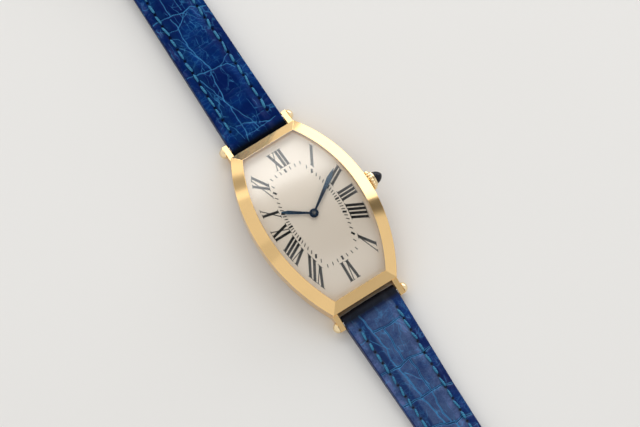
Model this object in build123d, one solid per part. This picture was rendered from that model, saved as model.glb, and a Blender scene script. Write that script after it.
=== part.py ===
from build123d import *
import os
from math import asin, atan2, cos, degrees, pi, radians, sin, sqrt

# A hand-wound tonneau wristwatch on a two-piece leather strap, in millimetres.
# +Z is the dial side, +Y is 12 o'clock and +X is the crown side.
# The origin is the centre of the case back's outer face, under the hands.
# The case is bent along its length: every layer follows one arc, and a "height"
# here is measured over the case back at the centre of the case.

os.makedirs("parts", exist_ok=True)

# Fits
overrun = 1.0
part_gap = 0.05
close_fit = 0.01
running_fit = 0.03

# Case outline, widest at the crown and flat at the two ends
case_half_width = 13.1
case_end_half_width = 7.6
case_half_length = 19.46
case_curve_radius = 48.3
bevel_side_width = 2.56
bevel_corner_width = 1.53
bevel_end_width = 2.07
wall_side_width = 2.2
wall_corner_width = 0.2
wall_end_width = 4.06

# Case heights
back_thickness = 0.6
back_rim = 0.9
back_gasket_thickness = 0.15
band_bottom = 0.25
bezel_seat_height = 2.9
bezel_edge_height = 3.9
bezel_lip_height = 5.41
bezel_end_lift_share = 0.34  # how much of the bevel's rise its lower edge has gained at the corners
skirt_depth = 0.35
skirt_wall = 1.0
loft_station_shares = (-1.0, -0.67, -0.33, 0.0, 0.33, 0.67, 1.0)

# Crystal and its gasket
crystal_top_height = 6.15
crystal_drop = 0.6
crystal_thickness = 0.7
crystal_rim_height = 4.5
crystal_rim_wall = 0.7
crystal_gasket_height = 0.4
crystal_gasket_width = 0.25

# Lugs, strap bars and their screws
lug_inner_x = 6.6
lug_width = 1.15
lug_root_inset = 1.26
bar_reach = 2.12
bar_depth = 1.156
bar_radius = 0.72
lug_tip_reach = 1.2
lug_tip_belly_share = 0.9
lug_top_drop = 0.7
bar_screw_shank_radius = 0.4
bar_screw_shank_length = 2.4
bar_screw_head_radius = 1.15
bar_screw_head_height = 1.05
bar_screw_head_rim = 0.12
bar_screw_turn = 30.0
screw_slot_width = 0.2
screw_slot_depth = 0.2

# Case back screws
back_screw_x = 4.6
back_screw_inset = 2.56
back_screw_head_radius = 0.75
back_screw_head_height = 0.3
back_screw_shank_radius = 0.4
back_screw_length = 1.7

# Dial and hands
dial_height = 3.5
dial_thickness = 0.35
dial_overlap = 0.35
dial_recess_gap = 0.1
dial_foot_radius = 0.35
dial_foot_depth = 0.6
dial_foot_x = 6.6
dial_foot_y = 6.6
hand_thickness = 0.12
hour_hand_z = 3.85
minute_hand_z = 4.1
hour_hand_length = 6.6
hour_hand_widest = 5.3
hour_hand_half_width = 0.38
hour_hand_tip_half_width = 0.1
hour_hand_angle = 303.2
minute_hand_length = 10.1
minute_hand_widest = 8.0
minute_hand_half_width = 0.5
minute_hand_tip_half_width = 0.05
minute_hand_angle = 55.6
hand_neck_half_width = 0.17
hour_hub_radius = 0.94
minute_hub_radius = 0.72
hour_pipe_radius = 0.6
minute_pipe_radius = 0.38
pipe_clearance = 0.05
centre_pin_height = 4.36

# Movement plates
plate_half_width = 8.0
plate_half_length = 8.4
plate_corner = 2.4
plate_bottom = 1.45
plate_top = 2.35
bridge_bottom = 0.65
bridge_top = 1.1
ring_ledge = 0.45
pivot_radius = 0.12
arbor_radius = 0.2
bridge_foot_radius = 0.7
bridge_screw_head_radius = 0.5
bridge_screw_head_height = 0.15
bridge_screw_shank_radius = 0.25
bridge_screw_end = 1.95
pocket_gap = 0.12

# Going train: teeth, module and place of each wheel
wheel_thickness = 0.08
train_low_level = 1.13
train_mid_level = 1.24
train_high_level = 1.35
tooth_root_share = 0.33
tooth_tip_share = 0.13
tooth_foot_share = 1.2
tooth_head_share = 0.95
crossing_radius_share = 0.24
crossing_place_share = 0.55
crossing_count = 5
barrel_teeth = 70
barrel_module = 0.09
centre_pinion_leaves = 10
barrel_bearing = 56.0
barrel_bottom = 1.5
barrel_top = 2.2
barrel_rim_height = 0.22
barrel_drum_inset = 0.3
centre_wheel_teeth = 60
centre_wheel_module = 0.1
third_pinion_leaves = 8
third_bearing = 150.0
third_wheel_teeth = 56
third_wheel_module = 0.09
fourth_pinion_leaves = 7
fourth_bearing = 230.0
fourth_wheel_teeth = 60
fourth_wheel_module = 0.07
escape_pinion_leaves = 6
escape_bearing = 300.0
escape_wheel_teeth = 15
escape_wheel_radius = 1.1
escape_tooth_depth = 0.3
escape_hook_share = 0.35

# Escapement and balance
pallet_distance = 1.5
pallet_bearing = 300.0
pallet_arm_half_width = 0.14
pallet_arm_reach = 0.95
pallet_stone_length = 0.3
pallet_stone_width = 0.16
fork_length = 1.75
fork_prong_half_gap = 0.12
fork_half_width = 0.3
fork_notch_depth = 0.35
balance_x = -1.0
balance_y = -5.6
balance_radius = 2.3
balance_rim_width = 0.3
balance_bottom = 1.15
balance_thickness = 0.15
balance_arm_half_width = 0.18
roller_radius = 0.42
impulse_pin_radius = 0.08
impulse_pin_place = 0.32
hairspring_inner_radius = 0.3
hairspring_pitch = 0.16
hairspring_half_turns = 10
hairspring_wire = 0.05
hairspring_bottom = 1.02
hairspring_height = 0.08
cock_width = 1.1
cock_anchor_x = 3.4
cock_anchor_y = -6.3
cock_top = 0.98
pallet_cock_x = -5.9
pallet_cock_y = -5.4

# Motion works under the dial
motion_module = 0.12
cannon_leaves = 10
minute_wheel_teeth = 30
minute_pinion_leaves = 8
hour_wheel_teeth = 32
minute_wheel_bearing = 200.0
cannon_low = 2.4
cannon_high = 2.68
minute_wheel_low = 2.42
minute_wheel_high = 2.58
minute_pinion_high = 2.98
hour_wheel_low = 2.75
hour_wheel_high = 2.93

# Winding and crown
stem_z = 1.75
stem_radius = 0.3
stem_inner_x = 5.15
winding_pinion_start = 6.6
winding_pinion_end = 7.4
winding_pinion_teeth = 15
winding_pinion_module = 0.1
clutch_start = 5.55
clutch_end = 6.3
clutch_radius = 0.7
clutch_teeth = 12
clutch_tooth_depth = 0.12
winding_slot_start = 5.05
winding_slot_end = 7.5
winding_slot_half_width = 0.95
bridge_slot_half_width = 0.7
ratchet_teeth = 54
ratchet_module = 0.1
crown_wheel_teeth = 32
crown_wheel_x = 5.9
ratchet_low = 0.68
ratchet_high = 0.88
ratchet_square = 0.45
click_x = -0.75
click_y = 5.75
click_length = 1.25
click_slant = 25.0
click_radius = 0.4
click_nose_half_width = 0.12
crown_post_radius = 0.4
tube_radius = 0.7
tube_bore_radius = 0.4
tube_start = 11.0
tube_end = 13.8
crown_start = 13.4
crown_base_radius = 2.15
crown_base_width = 0.78
crown_groove_width = 0.06
crown_ring_radius = 1.7
crown_ring_width = 0.22
crown_neck_radius = 1.5
crown_bead_count = 17
crown_bead_radius = 0.35
crown_recess_radius = 0.78
crown_recess_end = 13.9
crown_end = 14.65
cabochon_radius = 1.32
cabochon_seat = 14.3
cabochon_shoulder = 14.67
cabochon_tip = 16.4
cabochon_tip_radius = 0.15
cabochon_middle_length_share = 0.55
cabochon_middle_radius_share = 0.8

# Strap, measured along each half from its bar and up from its underside
strap_lug_half_width = 6.4
loop_radius = 1.75
loop_hole_gap = 0.06
lining_thickness = 0.8
border_width = 2.2
border_rise = 0.12
border_drop = 0.65
shoulder_width = 3.6
strap_thickness = 2.3
strap_swell = 0.35
tail_mid_half_width = 5.8
tail_half_width = 5.25
tail_length = 115.0
tail_point_length = 7.0
tail_mid_place = 22.0
tail_taper_end = 60.0
tail_hole_count = 7
tail_hole_pitch = 6.0
tail_last_hole_inset = 11.0
tail_hole_radius = 0.8
short_half_width = 6.1
short_length = 75.0
short_mid_place = 14.0
short_taper_end = 38.0
short_lift = 0.75
short_drop_start_inset = 6.0
short_drop_end_inset = 1.5
short_end_floor = 0.05
tongue_slot_half_width = 1.0
tongue_slot_length = 4.2

# Keepers, placed back from the buckle's bar
keeper_wall = 0.7
keeper_width = 4.5
keeper_side_gap = 0.3
keeper_inner_height = 4.9
keeper_under_gap = 0.08
fixed_keeper_inset = 9.0
sliding_keeper_inset = 22.0

# Buckle, measured from its bar and up from the table
buckle_bar_radius = 0.55
buckle_bar_gap = 0.05
buckle_bar_inset = 0.3
buckle_inner_half_width = 6.5
buckle_side_width = 1.2
buckle_front_width = 1.7
buckle_inner_length = 9.2
buckle_back_reach = 1.0
buckle_thickness = 1.8
buckle_corner = 1.6
tongue_half_width = 0.7
tongue_thickness = 0.6
tongue_eye_radius = 0.95
tongue_overhang = 0.5

# Worked-out values shared by several pieces
opening_half_width = case_half_width - bevel_side_width
opening_half_length = case_half_length - bevel_end_width
cavity_half_width = case_half_width - wall_side_width
case_shape = (case_half_width, case_end_half_width, case_half_length)
opening_shape = (opening_half_width, case_end_half_width - bevel_corner_width, opening_half_length)
cavity_shape = (cavity_half_width, case_end_half_width - wall_corner_width, case_half_length - wall_end_width)
strap_reach = strap_lug_half_width + overrun
strap_top = short_lift + 2 * loop_radius
buckle_bar_height = short_end_floor + strap_thickness / 2
fixed_keeper_place = short_length - fixed_keeper_inset
sliding_keeper_place = short_length - sliding_keeper_inset


def arc_of(shape):
    """Radius and centre of the side arc of an outline."""
    half_width, end_half_width, half_length = shape
    bow = half_width - end_half_width
    radius = (half_length ** 2 + bow ** 2) / (2 * bow)
    return radius, half_width - radius


def inset(shape, gap):
    """The outline drawn in by a gap on every side."""
    radius, centre = arc_of(shape)
    half_length = shape[2] - gap
    end_half_width = centre + sqrt((radius - gap) ** 2 - half_length ** 2)
    return shape[0] - gap, end_half_width, half_length


def half_width_at(shape, y):
    radius, centre = arc_of(shape)
    return centre + sqrt(radius ** 2 - y ** 2)


def sag(y):
    """How far the bent case falls at a distance from its centre."""
    return case_curve_radius - sqrt(case_curve_radius ** 2 - y ** 2)


lug_top_z = bezel_seat_height - sag(case_half_length)
lug_root_y = case_half_length - lug_root_inset
bar_y = case_half_length + bar_reach
lug_tip_y = bar_y + lug_tip_reach
lug_top_slope = lug_top_drop / (lug_tip_y - case_half_length)
bar_z = lug_top_z - bar_depth
table_z = bar_z - loop_radius
back_screw_y = case_half_length - back_screw_inset
dial_shape = inset(opening_shape, -dial_overlap)
dial_recess_shape = inset(dial_shape, -dial_recess_gap)
crystal_shape = inset(opening_shape, running_fit)
back_shape = inset(case_shape, back_rim)
skirt_shape = inset(case_shape, skirt_wall)
back_gasket_top = back_thickness + back_gasket_thickness
dial_bottom = dial_height - dial_thickness


def polar(distance, bearing, start=(0, 0)):
    angle = radians(bearing)
    return start[0] + distance * cos(angle), start[1] + distance * sin(angle)


centre = (0, 0)
barrel_distance = barrel_module * (barrel_teeth + centre_pinion_leaves) / 2
barrel_place = polar(barrel_distance, barrel_bearing)
third_distance = centre_wheel_module * (centre_wheel_teeth + third_pinion_leaves) / 2
third_place = polar(third_distance, third_bearing)
fourth_distance = third_wheel_module * (third_wheel_teeth + fourth_pinion_leaves) / 2
fourth_place = polar(fourth_distance, fourth_bearing, third_place)
escape_distance = fourth_wheel_module * (fourth_wheel_teeth + escape_pinion_leaves) / 2
escape_place = polar(escape_distance, escape_bearing, fourth_place)
pallet_place = polar(pallet_distance, pallet_bearing, escape_place)
balance_place = (balance_x, balance_y)
motion_distance = motion_module * (cannon_leaves + minute_wheel_teeth) / 2
minute_wheel_place = polar(motion_distance, minute_wheel_bearing)
crown_wheel_distance = ratchet_module * (ratchet_teeth + crown_wheel_teeth) / 2
crown_wheel_fall = sqrt(crown_wheel_distance ** 2 - (crown_wheel_x - barrel_place[0]) ** 2)
crown_wheel_place = (crown_wheel_x, barrel_place[1] - crown_wheel_fall)
lug_outer_x = lug_inner_x + lug_width


def tonneau(shape):
    half_width, end_half_width, half_length = shape
    right = ThreePointArc((end_half_width, -half_length), (half_width, 0), (end_half_width, half_length))
    top = Line((end_half_width, half_length), (-end_half_width, half_length))
    left = ThreePointArc((-end_half_width, half_length), (-half_width, 0), (-end_half_width, -half_length))
    bottom = Line((-end_half_width, -half_length), (end_half_width, -half_length))
    return make_face([right, top, left, bottom])


def column(shape):
    return extrude(tonneau(shape), amount=case_curve_radius, both=True)


def curved_slab(shape, low, high):
    """An outline between two heights of the bent case."""
    reach = shape[2] + overrun
    fall = sag(reach)
    lower = ThreePointArc((-reach, low - fall), (0, low), (reach, low - fall))
    end = Line((reach, low - fall), (reach, high - fall))
    upper = ThreePointArc((reach, high - fall), (0, high), (-reach, high - fall))
    start = Line((-reach, high - fall), (-reach, low - fall))
    side = Plane.YZ * make_face([lower, end, upper, start])
    return extrude(side, amount=shape[0] + overrun, both=True) & extrude(
        tonneau(shape), amount=case_curve_radius, both=True)


def disc(radius, low, high, place=(0, 0)):
    body = Cylinder(radius, high - low, align=(Align.CENTER, Align.CENTER, Align.MIN))
    return Pos(place[0], place[1], low) * body


def rod_x(radius, start, end, y, z):
    body = Cylinder(radius, end - start, align=(Align.CENTER, Align.CENTER, Align.MIN))
    return Pos(start, y, z) * Rot(Y=90) * body


def block(x_low, x_high, y_low, y_high, z_low, z_high):
    body = Box(x_high - x_low, y_high - y_low, z_high - z_low, align=(Align.MIN, Align.MIN, Align.MIN))
    return Pos(x_low, y_low, z_low) * body


def on_case(x, y, height):
    """A place on the bent case, with its axis square to the surface."""
    lean = degrees(asin(y / case_curve_radius))
    return Pos(0, 0, -case_curve_radius) * Rot(X=-lean) * Pos(x, 0, case_curve_radius + height)


def back_screw_places():
    for x in (-back_screw_x, back_screw_x):
        for y in (-back_screw_y, back_screw_y):
            yield x, y


def back_screw_holes(radius, depth):
    hole = disc(radius, -overrun, depth)
    return [on_case(x, y, 0) * hole for x, y in back_screw_places()]


def lug_profile(side):
    """One lug seen from the crown: it runs from the band out and down over the bar."""
    tip_top_z = lug_top_z - lug_top_drop
    root_top_z = lug_top_z + lug_top_slope * lug_root_inset
    tip_bottom_y = bar_y + lug_tip_reach / 3
    tip_mid = (bar_y + lug_tip_belly_share * lug_tip_reach, (tip_top_z + table_z) / 2)
    root_bottom = band_bottom - sag(lug_root_y)
    top = Line((lug_root_y, root_top_z), (lug_tip_y, tip_top_z))
    tip = ThreePointArc((lug_tip_y, tip_top_z), tip_mid, (tip_bottom_y, table_z))
    foot = Line((tip_bottom_y, table_z), (case_half_length, table_z))
    back = Line((case_half_length, table_z), (lug_root_y, root_bottom))
    root = Line((lug_root_y, root_bottom), (lug_root_y, root_top_z))
    face = make_face([top, tip, foot, back, root])
    return face if side > 0 else mirror(face, Plane.YZ)


def lugs():
    pieces = []
    for side in (1, -1):
        profile = Plane.YZ * lug_profile(side)
        for x in (lug_inner_x, -lug_outer_x):
            pieces.append(Pos(x, 0, 0) * extrude(profile, amount=lug_width))
    return pieces


def case_middle():
    band = curved_slab(case_shape, band_bottom, bezel_seat_height)
    band += lugs()
    band -= curved_slab(inset(case_shape, back_rim - part_gap), -overrun, back_gasket_top)
    band -= curved_slab(cavity_shape, 0, bezel_seat_height + overrun)
    skirt_floor = bezel_seat_height - skirt_depth - part_gap
    band -= curved_slab(inset(case_shape, skirt_wall - part_gap), skirt_floor, bezel_seat_height + overrun)
    band -= rod_x(tube_radius + close_fit, cavity_half_width - overrun, case_half_width + overrun, 0, stem_z)
    band -= back_screw_holes(back_screw_shank_radius + close_fit, back_screw_length + part_gap)
    for y in (-bar_y, bar_y):
        reach = lug_outer_x + overrun
        band -= rod_x(bar_screw_shank_radius + close_fit, -reach, reach, y, bar_z)
    return band


def case_back():
    plate = curved_slab(back_shape, 0, back_thickness)
    plate -= back_screw_holes(back_screw_shank_radius + part_gap, back_thickness + overrun)
    plate -= back_screw_holes(back_screw_head_radius + part_gap, back_screw_head_height + close_fit)
    return plate


def case_back_gasket():
    ring = curved_slab(back_shape, back_thickness + close_fit, back_gasket_top)
    ring -= column(inset(cavity_shape, -part_gap))
    ring -= back_screw_holes(back_screw_shank_radius + part_gap, back_gasket_top + overrun)
    return ring


def case_back_screws():
    head = disc(back_screw_head_radius, 0, back_screw_head_height)
    screw = head + disc(back_screw_shank_radius, 0, back_screw_length)
    half_slot = screw_slot_width / 2
    reach = back_screw_head_radius + overrun
    screw -= block(-reach, reach, -half_slot, half_slot, -overrun, screw_slot_depth)
    return [on_case(x, y, 0) * screw for x, y in back_screw_places()]


def bezel_edge_at(y):
    """Height of the bevel's lower edge over the bent case."""
    rise = bezel_lip_height - bezel_edge_height
    return bezel_edge_height + bezel_end_lift_share * rise * (y / case_half_length) ** 2


def bezel_roof():
    """The bevel of the two long sides, bent with the case; it flattens towards the corners."""
    sections = []
    reach = case_half_length + overrun
    for share in loft_station_shares:
        y = share * reach
        outer = half_width_at(case_shape, y)
        inner = half_width_at(opening_shape, y)
        edge_height = bezel_edge_at(y)
        slope = (bezel_lip_height - edge_height) / (outer - inner)
        wide = outer + overrun
        edge = edge_height - overrun * slope - sag(y)
        lip = bezel_lip_height - sag(y)
        low = bezel_seat_height - skirt_depth - case_half_length
        outline = Polyline((wide, low), (wide, edge), (inner, lip), (-inner, lip), (-wide, edge),
                           (-wide, low), close=True)
        plane = Plane(origin=(0, y, 0), x_dir=(1, 0, 0), z_dir=(0, -1, 0))
        sections.append(plane * make_face(outline))
    return loft(sections)


def end_bevel_cut():
    """What the flat bevel at 12 o'clock takes away."""
    edge_z = bezel_edge_at(case_half_length) - sag(case_half_length)
    lip_z = bezel_lip_height - sag(opening_half_length)
    slope = (lip_z - edge_z) / (case_half_length - opening_half_length)
    outer = case_half_length + overrun
    inner = opening_half_length - overrun
    top = lip_z + slope * overrun
    profile = make_face(Polyline((outer, edge_z - slope * overrun), (outer, top), (inner, top), close=True))
    return extrude(Plane.YZ * profile, amount=case_half_width, both=True)


def bezel():
    top = curved_slab(case_shape, bezel_seat_height, bezel_lip_height + overrun) & bezel_roof()
    cut = end_bevel_cut()
    top -= cut
    top -= mirror(cut, Plane.XZ)
    skirt_bottom = bezel_seat_height - skirt_depth
    ring = curved_slab(skirt_shape, skirt_bottom, bezel_seat_height + part_gap)
    top += ring
    top -= column(opening_shape)
    top -= curved_slab(dial_recess_shape, skirt_bottom - overrun, dial_height + part_gap)
    groove_shape = inset(opening_shape, -crystal_gasket_width)
    top -= curved_slab(groove_shape, crystal_rim_height, crystal_rim_height + crystal_gasket_height)
    return top


def barrel_vault(height):
    """A solid whose upper face is arched across the case and bent along it."""
    half_width = case_half_width
    drop = crystal_drop * (half_width / opening_half_width) ** 2
    crown_radius = case_curve_radius
    inner = crown_radius / 2
    side = crown_radius - drop
    arch = ThreePointArc((-half_width, side), (0, crown_radius), (half_width, side))
    right = Line((half_width, side), (half_width, inner))
    floor = Line((half_width, inner), (-half_width, inner))
    left = Line((-half_width, inner), (-half_width, side))
    lean = degrees(asin(case_half_length / case_curve_radius))
    plane = Plane.XZ * make_face([arch, right, floor, left])
    axis_z = height - crown_radius
    start = Pos(0, 0, axis_z) * Rot(X=-lean) * plane
    return revolve(start, Axis((0, 0, axis_z), (1, 0, 0)), 2 * lean)


def crystal():
    glass = curved_slab(crystal_shape, crystal_rim_height, crystal_top_height + overrun)
    glass &= barrel_vault(crystal_top_height)
    hollow = column(inset(crystal_shape, crystal_rim_wall))
    hollow &= barrel_vault(crystal_top_height - crystal_thickness)
    return glass - hollow


def crystal_gasket():
    low = crystal_rim_height
    outer_shape = inset(opening_shape, close_fit - crystal_gasket_width)
    ring = curved_slab(outer_shape, low, low + crystal_gasket_height)
    return ring - column(inset(crystal_shape, -close_fit))


dial_foot_places = ((dial_foot_x, -dial_foot_y), (-dial_foot_x, dial_foot_y))


def dial():
    plate = curved_slab(dial_shape, dial_bottom, dial_height)
    plate -= disc(hour_pipe_radius + pipe_clearance, 0, dial_height + overrun)
    foot_top = dial_height - sag(dial_foot_y) - dial_thickness / 2
    for place in dial_foot_places:
        plate += disc(dial_foot_radius, plate_top - dial_foot_depth, foot_top, place)
    return plate


def dial_foot_holes():
    return [disc(dial_foot_radius + close_fit, 0, dial_height, place) for place in dial_foot_places]


def hand(length, widest, half_width, tip_half_width, hub_radius, hole_radius, low, bearing):
    """A spear hand that widens slowly from the hub and closes fast to its tip."""
    outline = Polyline((-hand_neck_half_width, 0), (-half_width, widest), (-tip_half_width, length),
                       (tip_half_width, length), (half_width, widest), (hand_neck_half_width, 0), close=True)
    blade = extrude(make_face(outline), amount=hand_thickness)
    piece = Pos(0, 0, low) * Rot(Z=-bearing) * blade
    piece += disc(hub_radius, low, low + hand_thickness)
    return piece - disc(hole_radius, low - overrun, low + overrun)


def hour_hand():
    return hand(hour_hand_length, hour_hand_widest, hour_hand_half_width, hour_hand_tip_half_width,
                hour_hub_radius, hour_pipe_radius + close_fit, hour_hand_z, hour_hand_angle)


def minute_hand():
    return hand(minute_hand_length, minute_hand_widest, minute_hand_half_width, minute_hand_tip_half_width,
                minute_hub_radius, minute_pipe_radius + close_fit, minute_hand_z, minute_hand_angle)


def toothed_disc(teeth, module, low, high, turn=0.0, place=(0, 0)):
    pitch_radius = module * teeth / 2
    root = pitch_radius - tooth_foot_share * module
    tip = pitch_radius + tooth_head_share * module
    corners = ((-tooth_root_share, root), (-tooth_tip_share, tip),
               (tooth_tip_share, tip), (tooth_root_share, root))
    points = []
    for tooth in range(teeth):
        for share, radius in corners:
            points.append(polar(radius, 360 * (tooth + share) / teeth + turn))
    body = extrude(make_face(Polyline(*points, close=True)), amount=high - low)
    return Pos(place[0], place[1], low) * body


def crossings(radius, low, high, place=(0, 0)):
    """The round windows that lighten a wheel."""
    hole = crossing_radius_share * radius
    windows = []
    for window in range(crossing_count):
        middle = polar(crossing_place_share * radius, 360 * window / crossing_count, place)
        windows.append(disc(hole, low - overrun, high + overrun, middle))
    return windows


def mesh_turn(driver_teeth, driver_turn, follower_teeth, bearing):
    """Turn of a follower whose gap faces the driver's tooth on the line of centres."""
    phase = ((bearing - driver_turn) * driver_teeth / 360) % 1
    return bearing + 180 + (phase - 0.5) * 360 / follower_teeth


def arbor(place, low, high):
    """A staff between the bridge and the plate, with a thin pivot at each end."""
    body = disc(arbor_radius, bridge_top + running_fit, plate_bottom - running_fit, place)
    return body + disc(pivot_radius, low, high, place)


barrel_turn = mesh_turn(centre_pinion_leaves, 0.0, barrel_teeth, barrel_bearing)
third_turn = mesh_turn(centre_wheel_teeth, 0.0, third_pinion_leaves, third_bearing)
fourth_turn = mesh_turn(third_wheel_teeth, third_turn, fourth_pinion_leaves, fourth_bearing)
escape_turn = mesh_turn(fourth_wheel_teeth, fourth_turn, escape_pinion_leaves, escape_bearing)
minute_wheel_turn = mesh_turn(cannon_leaves, 0.0, minute_wheel_teeth, minute_wheel_bearing)
hour_wheel_turn = mesh_turn(minute_pinion_leaves, minute_wheel_turn, hour_wheel_teeth,
                            minute_wheel_bearing + 180)
pivot_low = bridge_bottom + close_fit
pivot_high = plate_bottom + (plate_top - plate_bottom) / 2


def barrel():
    rim = toothed_disc(barrel_teeth, barrel_module, barrel_bottom, barrel_bottom + barrel_rim_height,
                       barrel_turn, barrel_place)
    drum_radius = barrel_module * barrel_teeth / 2 - barrel_drum_inset
    drum = rim + disc(drum_radius, barrel_bottom, barrel_top, barrel_place)
    return drum - disc(ratchet_square + running_fit, 0, plate_top, barrel_place)


def ratchet_wheel():
    wheel = toothed_disc(ratchet_teeth, ratchet_module, ratchet_low, ratchet_high, 0.0, barrel_place)
    return wheel + disc(ratchet_square, ratchet_low, barrel_top, barrel_place)


def crown_wheel():
    bearing = degrees(atan2(crown_wheel_place[1] - barrel_place[1], crown_wheel_place[0] - barrel_place[0]))
    turn = mesh_turn(ratchet_teeth, 0.0, crown_wheel_teeth, bearing)
    wheel = toothed_disc(crown_wheel_teeth, ratchet_module, ratchet_low, ratchet_high,
                         turn, crown_wheel_place)
    return wheel - disc(crown_post_radius + running_fit, 0, plate_top, crown_wheel_place)


def click():
    """The pawl that stops the ratchet wheel from running back."""
    heading = degrees(atan2(barrel_place[1] - click_y, barrel_place[0] - click_x))
    nose = Polyline((0, click_nose_half_width), (click_length, 0), (0, -click_nose_half_width), close=True)
    body = Pos(click_x, click_y, ratchet_low) * Rot(Z=heading - click_slant) * extrude(
        make_face(nose), amount=ratchet_high - ratchet_low)
    body += disc(click_radius, ratchet_low, ratchet_high, (click_x, click_y))
    return body - disc(pivot_radius + running_fit, 0, plate_top, (click_x, click_y))


def centre_wheel():
    wheel_radius = centre_wheel_module * centre_wheel_teeth / 2
    top = train_low_level + wheel_thickness
    wheel = toothed_disc(centre_wheel_teeth, centre_wheel_module, train_low_level, top)
    wheel -= crossings(wheel_radius, train_low_level, top)
    wheel += toothed_disc(centre_pinion_leaves, barrel_module, barrel_bottom,
                          barrel_bottom + barrel_rim_height)
    wheel += disc(arbor_radius, bridge_top + running_fit, centre_pin_height - hand_thickness)
    return wheel + disc(pivot_radius, pivot_low, plate_top)


def train_wheel(teeth, module, level, leaves, pinion_module, pinion_level, turn, place):
    radius = module * teeth / 2
    wheel = toothed_disc(teeth, module, level, level + wheel_thickness, turn, place)
    wheel -= crossings(radius, level, level + wheel_thickness, place)
    wheel += toothed_disc(leaves, pinion_module, pinion_level, pinion_level + wheel_thickness, turn, place)
    return wheel + arbor(place, pivot_low, pivot_high)


def third_wheel():
    return train_wheel(third_wheel_teeth, third_wheel_module, train_high_level, third_pinion_leaves,
                       centre_wheel_module, train_low_level, third_turn, third_place)


def fourth_wheel():
    return train_wheel(fourth_wheel_teeth, fourth_wheel_module, train_mid_level, fourth_pinion_leaves,
                       third_wheel_module, train_high_level, fourth_turn, fourth_place)


def escape_wheel():
    points = []
    root = escape_wheel_radius - escape_tooth_depth
    for tooth in range(escape_wheel_teeth):
        start = 360 * tooth / escape_wheel_teeth
        points.append(polar(root, start))
        points.append(polar(escape_wheel_radius, start - 360 * escape_hook_share / escape_wheel_teeth))
    wheel = extrude(make_face(Polyline(*points, close=True)), amount=wheel_thickness)
    wheel = Pos(escape_place[0], escape_place[1], train_high_level) * wheel
    wheel += toothed_disc(escape_pinion_leaves, fourth_wheel_module, train_mid_level,
                          train_mid_level + wheel_thickness, escape_turn, escape_place)
    return wheel + arbor(escape_place, pivot_low, pivot_high)


def pallet_fork():
    """The lever between the escape wheel and the balance, with its two stones."""
    to_wheel = pallet_bearing + 180
    to_balance = degrees(atan2(balance_y - pallet_place[1], balance_x - pallet_place[0]))
    low = train_high_level
    lever = Box(fork_length, 2 * pallet_arm_half_width, wheel_thickness,
                align=(Align.MIN, Align.CENTER, Align.MIN))
    head = Box(fork_notch_depth * 2, 2 * fork_half_width, wheel_thickness,
               align=(Align.MAX, Align.CENTER, Align.MIN))
    notch = Box(fork_notch_depth, 2 * fork_prong_half_gap, wheel_thickness + overrun,
                align=(Align.MAX, Align.CENTER, Align.CENTER))
    lever += Pos(fork_length, 0, 0) * head
    lever -= Pos(fork_length, 0, 0) * notch
    piece = Pos(pallet_place[0], pallet_place[1], low) * Rot(Z=to_balance) * lever
    arms = Box(2 * pallet_arm_half_width, 2 * pallet_arm_reach, wheel_thickness,
               align=(Align.CENTER, Align.CENTER, Align.MIN))
    for side in (-1, 1):
        stone = Box(pallet_stone_length, pallet_stone_width, wheel_thickness,
                    align=(Align.MIN, Align.CENTER, Align.MIN))
        arms += Pos(0, side * (pallet_arm_reach - pallet_stone_width / 2), 0) * stone
    piece += Pos(pallet_place[0], pallet_place[1], low) * Rot(Z=to_wheel) * arms
    return piece + arbor(pallet_place, pivot_low, pivot_high)


def balance_wheel():
    low = balance_bottom
    high = low + balance_thickness
    rim = disc(balance_radius, low, high, balance_place)
    rim -= disc(balance_radius - balance_rim_width, low - overrun, high + overrun, balance_place)
    reach = balance_radius - balance_rim_width / 2
    arm = block(-reach, reach, -balance_arm_half_width, balance_arm_half_width, low, high)
    rim += Pos(balance_x, balance_y, 0) * arm
    rim += disc(arbor_radius, cock_top + running_fit, plate_bottom - running_fit, balance_place)
    rim += disc(pivot_radius, pivot_low, pivot_high, balance_place)
    to_fork = degrees(atan2(pallet_place[1] - balance_y, pallet_place[0] - balance_x))
    pin = polar(impulse_pin_place, to_fork, balance_place)
    rim += disc(roller_radius, high, high + running_fit, balance_place)
    return rim + disc(impulse_pin_radius, high, train_high_level + wheel_thickness, pin)


def hairspring():
    """A flat spiral drawn in half turns, fixed to the cock at its outer end."""
    def edge(offset, half_turn):
        radius = hairspring_inner_radius + half_turn * hairspring_pitch / 2 + offset
        return polar(radius, 180 * half_turn)

    def curve(offset):
        arcs = []
        for half_turn in range(hairspring_half_turns):
            middle = edge(offset, half_turn + 0.5)
            arcs.append(ThreePointArc(edge(offset, half_turn), middle, edge(offset, half_turn + 1)))
        return arcs

    half_wire = hairspring_wire / 2
    last = hairspring_half_turns
    ends = [Line(edge(-half_wire, start), edge(half_wire, start)) for start in (0, last)]
    face = make_face(curve(-half_wire) + curve(half_wire) + ends)
    return Pos(balance_x, balance_y, hairspring_bottom) * extrude(face, amount=hairspring_height)


def plate_outline(gap):
    sketch = Rectangle(2 * (plate_half_width - gap), 2 * (plate_half_length - gap))
    return chamfer(sketch.vertices(), plate_corner)


# Shares of the plate's half width and half length
barrel_screw_shares = ((0.825, 0.548), (-0.025, 0.857), (0.4, -0.19))
train_screw_shares = ((-0.825, 0.429), (-0.325, 0.786), (-0.85, -0.393))
barrel_bridge_shares = ((-0.15, -0.167), (0.5, -0.31), (0.9125, -0.143),
                        (0.9125, 0.643), (0.65, 0.917), (-0.15, 0.917))
train_bridge_shares = ((-0.925, -0.488), (-0.3625, -0.357), (-0.175, -0.167),
                       (-0.175, 0.917), (-0.65, 0.917), (-0.9125, 0.655))


def on_plate(shares):
    return [(x * plate_half_width, y * plate_half_length) for x, y in shares]


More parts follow.
